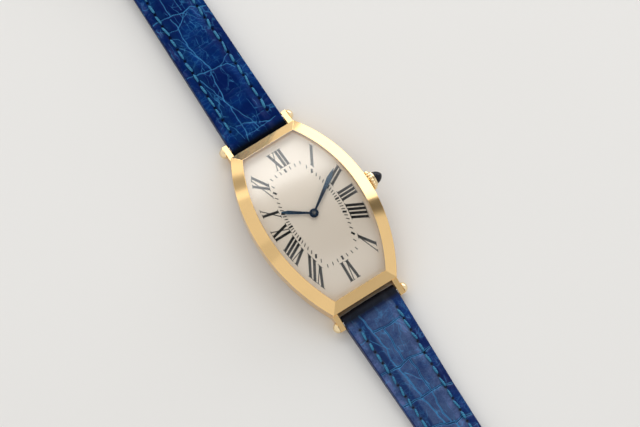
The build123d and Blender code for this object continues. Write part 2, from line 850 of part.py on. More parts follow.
bridge_screw_places = {
    "barrel": on_plate(barrel_screw_shares),
    "train": on_plate(train_screw_shares),
    "cock": [(cock_anchor_x, cock_anchor_y)],
    "pallet": [(pallet_cock_x, pallet_cock_y)],
}


def all_bridge_screw_places():
    return [place for places in bridge_screw_places.values() for place in places]


def main_plate():
    plate = Pos(0, 0, plate_bottom) * extrude(plate_outline(0), amount=plate_top - plate_bottom)
    barrel_pocket = barrel_module * barrel_teeth / 2 + barrel_module + pocket_gap
    plate -= disc(barrel_pocket, plate_bottom - overrun, barrel_top + part_gap, barrel_place)
    pinion_pocket = barrel_module * centre_pinion_leaves / 2 + barrel_module + pocket_gap
    plate -= disc(pinion_pocket, plate_bottom - overrun, barrel_bottom + barrel_rim_height + part_gap)
    plate -= disc(arbor_radius + running_fit, plate_bottom - overrun, plate_top + overrun)
    for place in (third_place, fourth_place, escape_place, pallet_place, balance_place):
        plate -= disc(pivot_radius + running_fit, plate_bottom - overrun, pivot_high + part_gap, place)
    for place in all_bridge_screw_places():
        plate -= disc(bridge_screw_shank_radius + close_fit, plate_bottom - overrun,
                      bridge_screw_end + part_gap, place)
    plate -= rod_x(stem_radius + part_gap, stem_inner_x - part_gap, plate_half_width + overrun, 0, stem_z)
    plate -= block(winding_slot_start, winding_slot_end, -winding_slot_half_width, winding_slot_half_width,
                   0, plate_top + overrun)
    plate -= dial_foot_holes()
    post_top = minute_pinion_high - part_gap
    return plate + disc(pivot_radius, plate_top - part_gap, post_top, minute_wheel_place)


def bridge(outline, names, top=bridge_top):
    """A flat bridge with a foot and a screw hole at each of its screws."""
    body = Pos(0, 0, bridge_bottom) * extrude(make_face(Polyline(*outline, close=True)),
                                              amount=top - bridge_bottom)
    for place in bridge_screw_places[names]:
        body += disc(bridge_foot_radius, bridge_bottom, plate_bottom, place)
    for place in bridge_screw_places[names]:
        body -= disc(bridge_screw_shank_radius + close_fit, 0, plate_bottom + overrun, place)
        body -= disc(bridge_screw_head_radius + close_fit, 0,
                     bridge_bottom + bridge_screw_head_height + close_fit, place)
    return body


def barrel_bridge():
    body = bridge(on_plate(barrel_bridge_shares), "barrel")
    recess_top = ratchet_high + pocket_gap / 4
    body -= disc(ratchet_module * (ratchet_teeth / 2 + 1) + pocket_gap, 0, recess_top, barrel_place)
    body -= disc(ratchet_module * (crown_wheel_teeth / 2 + 1) + pocket_gap, 0, recess_top, crown_wheel_place)
    body -= disc(click_length + pocket_gap, 0, recess_top, (click_x, click_y))
    body -= disc(ratchet_square + running_fit, 0, plate_top, barrel_place)
    body -= disc(pivot_radius + running_fit, 0, plate_top)
    body -= block(winding_slot_start, winding_slot_end, -bridge_slot_half_width, bridge_slot_half_width,
                  0, bridge_top + overrun)
    body += disc(crown_post_radius, ratchet_low, bridge_top, crown_wheel_place)
    return body + disc(pivot_radius, ratchet_low, bridge_top, (click_x, click_y))


def train_bridge():
    body = bridge(on_plate(train_bridge_shares), "train")
    for place in (third_place, fourth_place, escape_place):
        body -= disc(pivot_radius + running_fit, 0, plate_top, place)
    return body


def cock_outline(anchor, target, half_width):
    """A straight cock from its screw to the staff that it carries."""
    heading = degrees(atan2(target[1] - anchor[1], target[0] - anchor[0]))
    length = sqrt((target[0] - anchor[0]) ** 2 + (target[1] - anchor[1]) ** 2)
    corners = ((-half_width, -half_width), (length + half_width, -half_width / 2),
               (length + half_width, half_width / 2), (-half_width, half_width))
    points = []
    for along, across in corners:
        x, y = polar(along, heading, anchor)
        points.append(polar(across, heading + 90, (x, y)))
    return points


def balance_cock():
    anchor = (cock_anchor_x, cock_anchor_y)
    body = bridge(cock_outline(anchor, balance_place, cock_width), "cock", cock_top)
    return body - disc(pivot_radius + running_fit, 0, plate_top, balance_place)


def pallet_cock():
    anchor = (pallet_cock_x, pallet_cock_y)
    body = bridge(cock_outline(anchor, pallet_place, cock_width * 2 / 3), "pallet")
    body -= disc(balance_radius + cock_width / 2, 0, plate_bottom - part_gap, balance_place)
    return body - disc(pivot_radius + running_fit, 0, plate_top, pallet_place)


def bridge_screws():
    head = disc(bridge_screw_head_radius, bridge_bottom, bridge_bottom + bridge_screw_head_height)
    screw = head + disc(bridge_screw_shank_radius, bridge_bottom, bridge_screw_end)
    half_slot = screw_slot_width / 2
    reach = bridge_screw_head_radius + overrun
    slot_top = bridge_bottom + screw_slot_depth / 2
    screw -= block(-reach, reach, -half_slot, half_slot, 0, slot_top)
    return [Pos(x, y, 0) * screw for x, y in all_bridge_screw_places()]


def movement_ring():
    ring = curved_slab(inset(cavity_shape, part_gap), back_thickness + part_gap, dial_bottom)
    ring -= extrude(plate_outline(ring_ledge), amount=case_curve_radius, both=True)
    ring -= Pos(0, 0, plate_bottom) * extrude(plate_outline(-part_gap), amount=case_curve_radius)
    return ring - rod_x(stem_radius + 2 * part_gap, 0, case_half_width, 0, stem_z)


def cannon_pinion():
    pinion = toothed_disc(cannon_leaves, motion_module, cannon_low, cannon_high)
    pinion += disc(minute_pipe_radius, cannon_low, centre_pin_height)
    return pinion - disc(arbor_radius + close_fit, 0, centre_pin_height - hand_thickness + close_fit)


def minute_wheel():
    radius = motion_module * minute_wheel_teeth / 2
    wheel = toothed_disc(minute_wheel_teeth, motion_module, minute_wheel_low, minute_wheel_high,
                         minute_wheel_turn, minute_wheel_place)
    wheel -= crossings(radius, minute_wheel_low, minute_wheel_high, minute_wheel_place)
    wheel += toothed_disc(minute_pinion_leaves, motion_module, minute_wheel_high - close_fit,
                          minute_pinion_high, minute_wheel_turn, minute_wheel_place)
    return wheel - disc(pivot_radius + running_fit, 0, dial_height, minute_wheel_place)


def hour_wheel():
    radius = motion_module * hour_wheel_teeth / 2
    wheel = toothed_disc(hour_wheel_teeth, motion_module, hour_wheel_low, hour_wheel_high, hour_wheel_turn)
    wheel -= crossings(radius, hour_wheel_low, hour_wheel_high)
    wheel += disc(hour_pipe_radius, hour_wheel_low, hour_hand_z + hand_thickness)
    return wheel - disc(minute_pipe_radius + running_fit, 0, crystal_top_height)


def winding_pinion():
    body = toothed_disc(winding_pinion_teeth, winding_pinion_module, 0,
                        winding_pinion_end - winding_pinion_start)
    body = Pos(winding_pinion_start, 0, stem_z) * Rot(Y=90) * body
    return body - rod_x(stem_radius + running_fit, 0, case_half_width, 0, stem_z)


def sliding_clutch():
    body = rod_x(clutch_radius, clutch_start, clutch_end, 0, stem_z)
    for tooth in range(clutch_teeth):
        angle = 360 * tooth / clutch_teeth
        notch = Box(clutch_tooth_depth, clutch_tooth_depth, 2 * clutch_radius,
                    align=(Align.CENTER, Align.CENTER, Align.MIN))
        notch_place = Pos(clutch_end, 0, stem_z) * Rot(X=angle) * Pos(0, 0, stem_radius + clutch_tooth_depth)
        body -= notch_place * notch
    return body - rod_x(stem_radius + running_fit, 0, case_half_width, 0, stem_z)


def crown_tube():
    return rod_x(tube_radius, tube_start, tube_end, 0, stem_z) - rod_x(
        tube_bore_radius, 0, tube_end + overrun, 0, stem_z)


def winding_stem():
    return rod_x(stem_radius, stem_inner_x, cabochon_seat - part_gap, 0, stem_z)


def crown_bead():
    """A round-ended bead along X, as long as the crown's base is wide."""
    far = crown_base_width - crown_bead_radius
    slant = crown_bead_radius * cos(radians(45))
    profile = make_face([
        Line((0, 0), (crown_base_width, 0)),
        ThreePointArc((crown_base_width, 0), (far + slant, slant), (far, crown_bead_radius)),
        Line((far, crown_bead_radius), (crown_bead_radius, crown_bead_radius)),
        ThreePointArc((crown_bead_radius, crown_bead_radius), (crown_bead_radius - slant, slant), (0, 0))])
    return revolve(profile, Axis.X)


def crown():
    base_end = crown_start + crown_base_width
    ring_start = base_end + crown_groove_width
    ring_end = ring_start + crown_ring_width
    body = rod_x(crown_base_radius - crown_bead_radius, crown_start, base_end, 0, stem_z)
    body += rod_x(crown_neck_radius, base_end, crown_end, 0, stem_z)
    body += rod_x(crown_ring_radius, ring_start, ring_end, 0, stem_z)
    bead = crown_bead()
    for count in range(crown_bead_count):
        y, z = polar(crown_base_radius - crown_bead_radius, 360 * count / crown_bead_count, (0, stem_z))
        body += Pos(crown_start, y, z) * bead
    body -= rod_x(crown_recess_radius, crown_start - overrun, crown_recess_end, 0, stem_z)
    body -= rod_x(stem_radius + close_fit, crown_start, cabochon_seat, 0, stem_z)
    return body - rod_x(cabochon_radius + close_fit, cabochon_seat, crown_end + overrun, 0, stem_z)


def crown_cabochon():
    """A domed stone that rises to a small flat tip."""
    shoulder = (cabochon_shoulder, cabochon_radius)
    tip = (cabochon_tip, cabochon_tip_radius)
    middle = (cabochon_shoulder + (cabochon_tip - cabochon_shoulder) * cabochon_middle_length_share,
              cabochon_radius * cabochon_middle_radius_share)
    profile = make_face([
        Line((cabochon_seat, 0), (cabochon_seat, cabochon_radius)),
        Line((cabochon_seat, cabochon_radius), shoulder),
        ThreePointArc(shoulder, middle, tip),
        Line(tip, (cabochon_tip, 0)),
        Line((cabochon_tip, 0), (cabochon_seat, 0))])
    return Pos(0, 0, stem_z) * revolve(profile, Axis.X)


def strap_bar(y):
    bar = rod_x(bar_radius, -lug_inner_x + part_gap, lug_inner_x - part_gap, y, bar_z)
    hole_start = lug_outer_x - bar_screw_shank_length - part_gap
    hole = rod_x(bar_screw_shank_radius + close_fit, hole_start, lug_outer_x, y, bar_z)
    return bar - hole - mirror(hole, Plane.YZ)


def bar_screws():
    """Dome-headed slotted screws, one from each side into each bar."""
    height = bar_screw_head_height
    base = bar_screw_head_radius
    rim = bar_screw_head_rim
    rise = height - rim
    sphere_radius = (base ** 2 + rise ** 2) / (2 * rise)
    half_angle = asin(base / sphere_radius) / 2
    middle = (height - sphere_radius + sphere_radius * cos(half_angle), sphere_radius * sin(half_angle))
    dome = revolve(make_face([Line((0, 0), (height, 0)), ThreePointArc((height, 0), middle, (rim, base)),
                              Line((rim, base), (0, base - rim)), Line((0, base - rim), (0, 0))]), Axis.X)
    half_slot = screw_slot_width / 2
    dome -= block(height - screw_slot_depth, height + overrun, -base, base, -half_slot, half_slot)
    screw = dome + rod_x(bar_screw_shank_radius, -bar_screw_shank_length, part_gap, 0, 0)
    screws = []
    for y in (-bar_y, bar_y):
        right = Pos(lug_outer_x, y, bar_z) * Rot(X=bar_screw_turn) * screw
        screws.append(right)
        screws.append(mirror(right, Plane.YZ))
    return screws


def strap_blank(stations):
    """A padded strap half along +Y: stations are (place, half width, floor, top)."""
    sections = []
    for place, half_width, floor, top in stations:
        edge = top - border_drop
        border = half_width - border_width
        shoulder = half_width - shoulder_width
        outline = Polyline((-half_width, floor), (half_width, floor), (half_width, edge),
                           (border, edge + border_rise), (shoulder, top), (-shoulder, top),
                           (-border, edge + border_rise), (-half_width, edge), close=True)
        plane = Plane(origin=(0, place, 0), x_dir=(1, 0, 0), z_dir=(0, -1, 0))
        sections.append(plane * make_face(outline))
    blank = loft(sections, ruled=True)
    far = stations[-1][0] + overrun
    loop = rod_x(loop_radius, -strap_reach, strap_reach, 0, loop_radius)
    blank &= loop + block(-strap_reach, strap_reach, 0, far, -overrun, strap_top)
    return blank - rod_x(bar_radius + loop_hole_gap, -strap_reach, strap_reach, 0, loop_radius)


def lining_sheet(stations):
    """The space that the lining fills, along the underside of a strap half."""
    sections = []
    for place, half_width, floor, top in stations:
        outline = Polyline((-strap_reach, floor - overrun), (strap_reach, floor - overrun),
                           (strap_reach, floor + lining_thickness), (-strap_reach, floor + lining_thickness),
                           close=True)
        plane = Plane(origin=(0, place, 0), x_dir=(1, 0, 0), z_dir=(0, -1, 0))
        sections.append(plane * make_face(outline))
    return loft(sections, ruled=True)


def tail_stations():
    """The long half lies flat from end to end."""
    return (
        (-loop_radius - overrun, strap_lug_half_width, 0, 2 * loop_radius),
        (loop_radius, strap_lug_half_width, 0, 2 * loop_radius),
        (tail_mid_place, tail_mid_half_width, 0, strap_thickness + strap_swell),
        (tail_taper_end, tail_half_width, 0, strap_thickness),
        (tail_length + overrun, tail_half_width, 0, strap_thickness))


def short_stations():
    """The short half lifts off the table to pass through its sliding keeper."""
    high = short_lift + strap_thickness
    end_high = short_end_floor + strap_thickness
    drop_start = short_length - short_drop_start_inset
    drop_end = short_length - short_drop_end_inset
    mid_half_width = (strap_lug_half_width + short_half_width) / 2
    return (
        (-loop_radius - overrun, strap_lug_half_width, 0, 2 * loop_radius),
        (loop_radius, strap_lug_half_width, 0, 2 * loop_radius),
        (short_mid_place, mid_half_width, short_lift / 4, high + strap_swell),
        (short_taper_end, short_half_width, short_lift, high),
        (drop_start, short_half_width, short_lift, high),
        (drop_end, short_half_width, short_end_floor, end_high),
        (short_length + strap_thickness, short_half_width, short_end_floor, end_high))


def tail_blank():
    blank = strap_blank(tail_stations())
    shoulder = tail_length - tail_point_length
    tip = make_face([
        ThreePointArc((strap_reach, shoulder), (0, tail_length), (-strap_reach, shoulder)),
        Line((-strap_reach, shoulder), (strap_reach, shoulder))])
    keep = extrude(tip, amount=strap_top)
    keep += block(-strap_reach, strap_reach, -loop_radius - overrun, shoulder, 0, strap_top)
    blank &= keep
    for hole in range(tail_hole_count):
        place = tail_length - tail_last_hole_inset - hole * tail_hole_pitch
        blank -= disc(tail_hole_radius, -overrun, strap_top, (0, place))
    return blank


def short_blank():
    blank = strap_blank(short_stations())
    end_radius = strap_thickness / 2
    keep = rod_x(end_radius, -strap_reach, strap_reach, short_length, buckle_bar_height)
    keep += block(-strap_reach, strap_reach, -loop_radius - overrun, short_length, -overrun, strap_top)
    blank &= keep
    blank -= rod_x(buckle_bar_radius + loop_hole_gap, -strap_reach, strap_reach,
                   short_length, buckle_bar_height)
    return blank - block(-tongue_slot_half_width, tongue_slot_half_width, short_length - tongue_slot_length,
                         short_length + strap_thickness, -overrun, strap_top)


def fixed_keeper_slot():
    """Where the sewn keeper passes between the leather and the lining."""
    low = short_lift + lining_thickness
    return block(-strap_reach, strap_reach, fixed_keeper_place - keeper_width / 2 - part_gap,
                 fixed_keeper_place + keeper_width / 2 + part_gap, low, low + keeper_wall + part_gap)


def short_half(piece):
    return Pos(0, bar_y, table_z) * piece


def tail_half(piece):
    return Pos(0, -bar_y, table_z) * Rot(Z=180) * piece


def keeper(place, low):
    """A flat loop round the strap with room over it for the tail."""
    half = keeper_width / 2
    inner = short_half_width + keeper_side_gap
    outer = inner + keeper_wall
    top = short_lift + keeper_inner_height
    loop = block(-outer, outer, place - half, place + half, low, top + keeper_wall)
    return loop - block(-inner, inner, place - half - overrun, place + half + overrun, low + keeper_wall, top)


def fixed_keeper():
    return keeper(fixed_keeper_place, short_lift + lining_thickness + close_fit)


def sliding_keeper():
    return keeper(sliding_keeper_place, short_lift - keeper_under_gap - keeper_wall)


def buckle_frame():
    outer_half_width = buckle_inner_half_width + buckle_side_width
    front = buckle_inner_length + buckle_front_width
    sketch = Rectangle(2 * outer_half_width, front + buckle_back_reach)
    sketch = fillet(sketch.vertices(), buckle_corner)
    gap = Pos(0, -buckle_front_width, 0) * Rectangle(2 * buckle_inner_half_width, front + buckle_back_reach)
    ring = extrude(sketch - gap, amount=buckle_thickness)
    ring = Pos(0, short_length + (front - buckle_back_reach) / 2, 0) * ring
    reach = outer_half_width - buckle_bar_inset
    return ring - rod_x(buckle_bar_radius + close_fit, -reach, reach, short_length, buckle_bar_height)


def buckle_bar():
    reach = buckle_inner_half_width + buckle_side_width - buckle_bar_inset - part_gap
    return rod_x(buckle_bar_radius, -reach, reach, short_length, buckle_bar_height)


def buckle_tongue():
    """The pin: an eye on the bar and an arm that lies over the front of the frame."""
    low = buckle_thickness + running_fit
    high = low + tongue_thickness
    end = short_length + buckle_inner_length + buckle_front_width + tongue_overhang
    outline = Polyline((short_length - tongue_eye_radius / 2, high - tongue_thickness / 2),
                       (short_length + tongue_eye_radius, high), (end - tongue_thickness, high),
                       (end, low), (short_length + 2 * tongue_eye_radius, low),
                       (short_length, buckle_bar_height), close=True)
    arm = extrude(Plane.YZ * make_face(outline), amount=tongue_half_width, both=True)
    arm += rod_x(tongue_eye_radius, -tongue_half_width, tongue_half_width, short_length, buckle_bar_height)
    return arm - rod_x(buckle_bar_radius + buckle_bar_gap, -strap_reach, strap_reach,
                       short_length, buckle_bar_height)


def solids_of(shape):
    if isinstance(shape, list):
        return [solid for piece in shape for solid in solids_of(piece)]
    return shape.solids()


def save(name, shape):
    """One file for each node; loose solids of one node go in together."""
    solids = solids_of(shape)
    whole = Compound(children=solids) if len(solids) > 1 else solids[0]
    export_step(whole, "parts/" + name + ".step")


case_pieces = (case_middle, case_back, case_back_gasket, case_back_screws, bezel, crystal, crystal_gasket)
face_pieces = (dial, hour_hand, minute_hand, cannon_pinion, minute_wheel, hour_wheel)
plate_pieces = (movement_ring, main_plate, barrel_bridge, train_bridge, balance_cock, pallet_cock,
                bridge_screws)
train_pieces = (barrel, centre_wheel, third_wheel, fourth_wheel, escape_wheel)
escapement_pieces = (pallet_fork, balance_wheel, hairspring)
winding_pieces = (ratchet_wheel, crown_wheel, click, winding_pinion, sliding_clutch, winding_stem)
crown_pieces = (crown_tube, crown, crown_cabochon)

for group in (case_pieces, face_pieces, plate_pieces, train_pieces, escapement_pieces, winding_pieces,
              crown_pieces, (bar_screws,)):
    for make in group:
        save(make.__name__, make())

save("strap_bar_12", strap_bar(bar_y))
save("strap_bar_6", strap_bar(-bar_y))

short = short_blank()
short_lining = lining_sheet(short_stations())
save("strap_12_leather", short_half(short - short_lining - fixed_keeper_slot()))
save("strap_12_lining", short_half(short & short_lining))
tail = tail_blank()
tail_lining = lining_sheet(tail_stations())
save("strap_6_leather", tail_half(tail - tail_lining))
save("strap_6_lining", tail_half(tail & tail_lining))
for make in (fixed_keeper, sliding_keeper, buckle_frame, buckle_bar, buckle_tongue):
    save(make.__name__, short_half(make()))
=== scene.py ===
import random
from math import cos, radians, sin, sqrt

import bmesh
import bpy
import numpy as np
from mathutils import Matrix, Vector


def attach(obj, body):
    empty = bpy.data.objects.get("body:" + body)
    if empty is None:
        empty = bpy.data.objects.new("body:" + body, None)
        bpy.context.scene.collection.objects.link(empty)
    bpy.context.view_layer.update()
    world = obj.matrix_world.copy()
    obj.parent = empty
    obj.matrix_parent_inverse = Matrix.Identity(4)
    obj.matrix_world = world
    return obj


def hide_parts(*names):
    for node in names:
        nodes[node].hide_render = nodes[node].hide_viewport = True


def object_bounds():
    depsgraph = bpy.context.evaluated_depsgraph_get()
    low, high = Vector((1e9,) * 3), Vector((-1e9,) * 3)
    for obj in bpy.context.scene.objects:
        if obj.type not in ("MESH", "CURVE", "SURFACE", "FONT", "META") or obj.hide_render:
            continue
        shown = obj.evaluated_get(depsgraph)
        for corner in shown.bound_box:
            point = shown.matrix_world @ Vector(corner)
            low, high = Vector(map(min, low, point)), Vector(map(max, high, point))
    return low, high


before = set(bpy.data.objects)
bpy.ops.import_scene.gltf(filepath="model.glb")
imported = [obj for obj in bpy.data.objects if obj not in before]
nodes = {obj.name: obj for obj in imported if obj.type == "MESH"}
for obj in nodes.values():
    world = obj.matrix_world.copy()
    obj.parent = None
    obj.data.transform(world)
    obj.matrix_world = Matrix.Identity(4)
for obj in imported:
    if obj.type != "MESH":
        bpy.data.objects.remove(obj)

cadBox = [list(corner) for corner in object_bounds()]
metre = 0.001          # pieces are drawn in millimetres and scaled at the end

# The bent case that every visible layer follows
case = {
    "bend": 48.3,
    "dialHeight": 3.5,
    "barY": 21.58,
    "tableZ": -4.0997,
}


def sag(y):
    return case["bend"] - sqrt(case["bend"] ** 2 - y ** 2)


# The camera comes first
view = {
    "place": (-0.07205, -0.08215, 0.45067),
    "turn": (13.5776, -2.2238, -32.7564),
    "lens": 128.1,
    "sensor": 36,
    "clip": (0.01, 20),
}
cameraData = bpy.data.cameras.new("camera")
cameraData.lens = view["lens"]
cameraData.sensor_width = view["sensor"]
cameraData.clip_start, cameraData.clip_end = view["clip"]
camera = bpy.data.objects.new("camera", cameraData)
camera.location = view["place"]
camera.rotation_euler = [radians(angle) for angle in view["turn"]]
bpy.context.scene.collection.objects.link(camera)
bpy.context.scene.camera = camera
bpy.context.scene.view_settings.view_transform = "Standard"
print("camera placed")


# Materials

def tint(red, green, blue):
    # 0 to 255 as read off a picture, to the linear colour a shader takes
    shares = [channel / 255 for channel in (red, green, blue)]
    linear = [share / 12.92 if share <= 0.04045 else ((share + 0.055) / 1.055) ** 2.4 for share in shares]
    return (*linear, 1)


class Wire:
    # A shader socket that takes part in Python sums
    def __init__(self, board, socket):
        self.board = board
        self.socket = socket

    def __add__(self, other):
        return self.board.sum("ADD", self, other)

    def __sub__(self, other):
        return self.board.sum("SUBTRACT", self, other)

    def __rsub__(self, other):
        return self.board.sum("SUBTRACT", other, self)

    def __mul__(self, other):
        return self.board.sum("MULTIPLY", self, other)

    def __pow__(self, other):
        return self.board.sum("POWER", self, other)

    __radd__ = __add__
    __rmul__ = __mul__


class Board:
    # The nodes of a material or of the world
    def __init__(self, tree):
        self.tree = tree
        self.tree.nodes.clear()
        self.objectPlace = None

    def node(self, kind, values=None, output=0, stops=(), **settings):
        made = self.tree.nodes.new("ShaderNode" + kind)
        for key, value in settings.items():
            setattr(made, key, value)
        for key, value in (values or {}).items():
            if isinstance(value, Wire):
                self.tree.links.new(value.socket, made.inputs[key])
            else:
                made.inputs[key].default_value = value
        if stops:
            elements = made.color_ramp.elements
            while len(elements) < len(stops):
                elements.new(0.5)
            for element, (place, colour) in zip(elements, stops):
                element.position, element.color = place, colour
        return Wire(self, made.outputs[output]) if made.outputs else None

    def sum(self, operation, first, second):
        return self.node("Math", {0: first, 1: second}, operation=operation)

    def clear(self, value, low, high, start=0.0, end=1.0):
        # the start below low, the end above high
        values = {"Value": value, "From Min": low, "From Max": high, "To Min": start, "To Max": end}
        return self.node("MapRange", values, interpolation_type="SMOOTHSTEP")

    def place(self, stretch=(1, 1, 1), turn=(0, 0, 0)):
        # Object coordinates in millimetres
        if self.objectPlace is None:
            self.objectPlace = self.node("TexCoord", output="Object")
        scale = [share / metre for share in stretch]
        return self.node("Mapping", {"Vector": self.objectPlace, "Rotation": turn, "Scale": scale})

    def noise(self, scale, place=None, detail=3.0, rough=0.5, warp=0.0, output=0):
        values = {"Scale": scale, "Detail": detail, "Roughness": rough, "Distortion": warp}
        return self.node("TexNoise", {"Vector": place or self.place(), **values}, output)

    def cells(self, scale, place=None, feature="F1", uneven=1.0):
        values = {"Vector": place or self.place(), "Scale": scale, "Randomness": uneven}
        return self.node("TexVoronoi", values, feature=feature)

    def wave(self, scale, profile="SIN", warp=0.0):
        values = {"Vector": self.place(), "Scale": scale, "Distortion": warp}
        return self.node("TexWave", values, bands_direction="DIAGONAL", wave_profile=profile)

    def pushed(self, place, cloud, push):
        # a place moved about by a cloud's colours
        return self.node("VectorMath", {0: cloud, 1: (push,) * 3, 2: place}, operation="MULTIPLY_ADD")

    def mix(self, share, first, second):
        return self.node("Mix", {"Factor": share, "A": first, "B": second}, "Result", data_type="RGBA")

    def bump(self, height, distance, strength=1.0, normal=None):
        values = {"Height": height, "Distance": distance * metre, "Strength": strength}
        return self.node("Bump", {**values, "Normal": normal} if normal else values)


class Finish(Board):
    def __init__(self, name):
        self.material = bpy.data.materials.new(name)
        self.material.use_nodes = True
        super().__init__(self.material.node_tree)

    def surface(self, tone, rough, relief=None, metallic=0.0, shine=0.5):
        values = {"Base Color": tone, "Roughness": rough, "Metallic": metallic, "Specular IOR Level": shine}
        if relief:
            values["Normal"] = relief
        return self.close(self.node("BsdfPrincipled", values))

    def close(self, shader):
        self.node("OutputMaterial", {"Surface": shader})
        return self.material


goldTones = {
    "yellow": (0.93, 0.64, 0.30, 1),
    "dulled": 0.97,            # how bright the clouds in it stay
    "roughLow": 0.06,
    "roughHigh": 0.12,
    "hairRough": 0.03,
    "hairStretch": (9, 0.7, 4),
    "hairShare": 0.6,
    "depth": 0.003,
    "edgeRadius": 0.11,
    "edgeSamples": 6,
}


def makeGold(name, brushed=0.0, bright=goldTones["yellow"], relief=0.35):
    # fine hairlines and clouds, with edges that the shader rounds
    tones = goldTones
    finish = Finish(name)
    cloud = finish.noise(0.22, detail=4)
    hairs = finish.noise(1.4, finish.place(tones["hairStretch"]), detail=5, rough=0.65)
    spots = finish.noise(6, detail=2)
    dull = [tones["dulled"] * channel for channel in bright[:3]] + [1]
    span = tones["roughHigh"] - tones["roughLow"]
    rough = tones["roughLow"] + cloud * span + hairs * tones["hairRough"] + brushed
    height = hairs * tones["hairShare"] + spots * (1 - tones["hairShare"])
    softEdge = finish.node("Bevel", {"Radius": tones["edgeRadius"] * metre}, samples=tones["edgeSamples"])
    bumps = finish.bump(height, tones["depth"] + brushed * 0.05, relief, softEdge)
    return finish.surface(finish.mix(finish.clear(cloud, 0.35, 0.7), bright, dull), rough, bumps, 1.0)


metalTones = {
    "steel": {"colour": (0.56, 0.56, 0.57), "rough": 0.16, "uneven": 0.18, "grain": (12, 1, 1)},
    "giltBrass": {"colour": (0.83, 0.60, 0.28), "rough": 0.2, "uneven": 0.2, "grain": (5, 5, 1)},
    "darker": 0.82,
}


def makeMetal(name):
    # steel and brass with a drawn grain
    tones = metalTones[name]
    finish = Finish(name)
    lines = finish.noise(1.6, finish.place(tones["grain"]), detail=5, rough=0.7)
    cloud = finish.noise(0.5, detail=3)
    darker = [channel * metalTones["darker"] for channel in tones["colour"]]
    tone = finish.mix(cloud, (*tones["colour"], 1), (*darker, 1))
    return finish.surface(tone, tones["rough"] + lines * tones["uneven"], finish.bump(lines, 0.006, 0.4), 1.0)


stripeTones = {
    "low": (0.62, 0.60, 0.56, 1),
    "high": (0.74, 0.72, 0.67, 1),
    "scale": 0.19,
    "pearlScale": 1.2,
}


def makeStriped(name):
    # plates and bridges with broad polished stripes and a pearled ground
    finish = Finish(name)
    stripes = finish.wave(stripeTones["scale"], "SAW")
    pearls = finish.cells(stripeTones["pearlScale"], uneven=0.15)
    hairs = finish.noise(2.0, finish.place((6, 6, 1)), detail=4)
    tone = finish.mix(stripes, stripeTones["low"], stripeTones["high"])
    bumps = finish.bump(stripes * 0.7 + pearls * 0.3, 0.03, 0.4)
    return finish.surface(tone, 0.2 + stripes * 0.14 + hairs * 0.06, bumps, 1.0)


# scale, detail and warp of the grain, its two colours, roughness and how much the grain adds,
# relief as depth and strength, and how much it shines
grainTones = {
    "rubber": (8, 4, 0.0, (0.012, 0.012, 0.013), (0.03, 0.03, 0.032), 0.55, 0.15, (0.02, 0.4), 0.5),
    "blackPrint": (14, 3, 0.0, (0.004, 0.004, 0.004), (0.011, 0.010, 0.009), 0.4, 0.12, (0.004, 0.5), 0.12),
    "darkStone": (0.9, 3, 1.5, (0.002, 0.003, 0.006), (0.008, 0.010, 0.022), 0.12, 0.06, None, 0.22),
    "paleFloor": (0.01, 3, 0.0, (0.80, 0.79, 0.77), (0.83, 0.825, 0.81), 0.8, 0.0, None, 0.5),
}


def makeGrained(name):
    # plain stuffs, where one grain drives tone, roughness and relief
    scale, detail, warp, dark, light, rough, uneven, relief, shine = grainTones[name]
    finish = Finish(name)
    grain = finish.noise(scale, detail=detail, warp=warp)
    bumps = finish.bump(grain, *relief) if relief else None
    tone = finish.mix(grain, (*dark, 1), (*light, 1))
    return finish.surface(tone, rough + grain * uneven, bumps, shine=shine)


dialTones = {
    "light": (0.86, 0.76, 0.66, 1),
    "warm": (0.84, 0.73, 0.625, 1),
    "metallic": 0.12,
}


def makeDial(name):
    # silvered ivory with a very fine vertical grain
    finish = Finish(name)
    grain = finish.noise(9, finish.place((1, 0.35, 1)), detail=4, rough=0.7)
    cloud = finish.noise(0.11, detail=2)
    tone = finish.mix(cloud * 0.7 + grain * 0.3, dialTones["light"], dialTones["warm"])
    return finish.surface(tone, 0.4 + grain * 0.12, finish.bump(grain, 0.006, 0.5), dialTones["metallic"])


blueTones = {
    "deep": (0.020, 0.065, 0.150, 1),
    "clear": (0.035, 0.105, 0.215, 1),
    # The tip tone and its reach paint a reflection: the minute hand lightens towards its end.
    "tip": (0.075, 0.235, 0.42, 1),
    "tipGlintReach": (4.6, 6.6),    # distances from the centre over which the minute hand's tip lightens
}


def makeBluedSteel(name):
    finish = Finish(name)
    cloud = finish.noise(0.35, detail=2)
    hairs = finish.noise(2.5, finish.place((8, 8, 1)), detail=4)
    outward = finish.node("VectorMath", {0: finish.place((1, 1, 0))}, "Value", operation="LENGTH")
    tone = finish.mix(finish.clear(cloud, 0.35, 0.65), blueTones["deep"], blueTones["clear"])
    # painted reflection, lightening the minute hand towards its tip
    tone = finish.mix(finish.clear(outward, *blueTones["tipGlintReach"]), tone, blueTones["tip"])
    return finish.surface(tone, 0.2 + hairs * 0.08, finish.bump(hairs, 0.003, 0.4), 0.9)


glassTones = {
    "clear": (0.985, 0.99, 0.985, 1),
    "mirror": 0.056,           # share that reflects where the glass is met head on
    "smudge": 0.014,
    "rim": 0.9,
    "gloss": {"Base Color": (1, 1, 1, 1), "Metallic": 1.0, "Roughness": 0.16},
}


def makeCrystal(name):
    # thin clear glass: it lets the light straight through and reflects more towards its edges
    finish = Finish(name)
    facing = finish.node("LayerWeight", {"Blend": 0.5}, "Facing")
    smudge = finish.noise(0.35, detail=2)
    mirror = glassTones["mirror"] + smudge * glassTones["smudge"] + glassTones["rim"] * facing ** 5
    clear = finish.node("BsdfTransparent", {"Color": glassTones["clear"]})
    gloss = finish.node("BsdfPrincipled", glassTones["gloss"])
    return finish.close(finish.node("MixShader", {0: mirror, 1: clear, 2: gloss}))


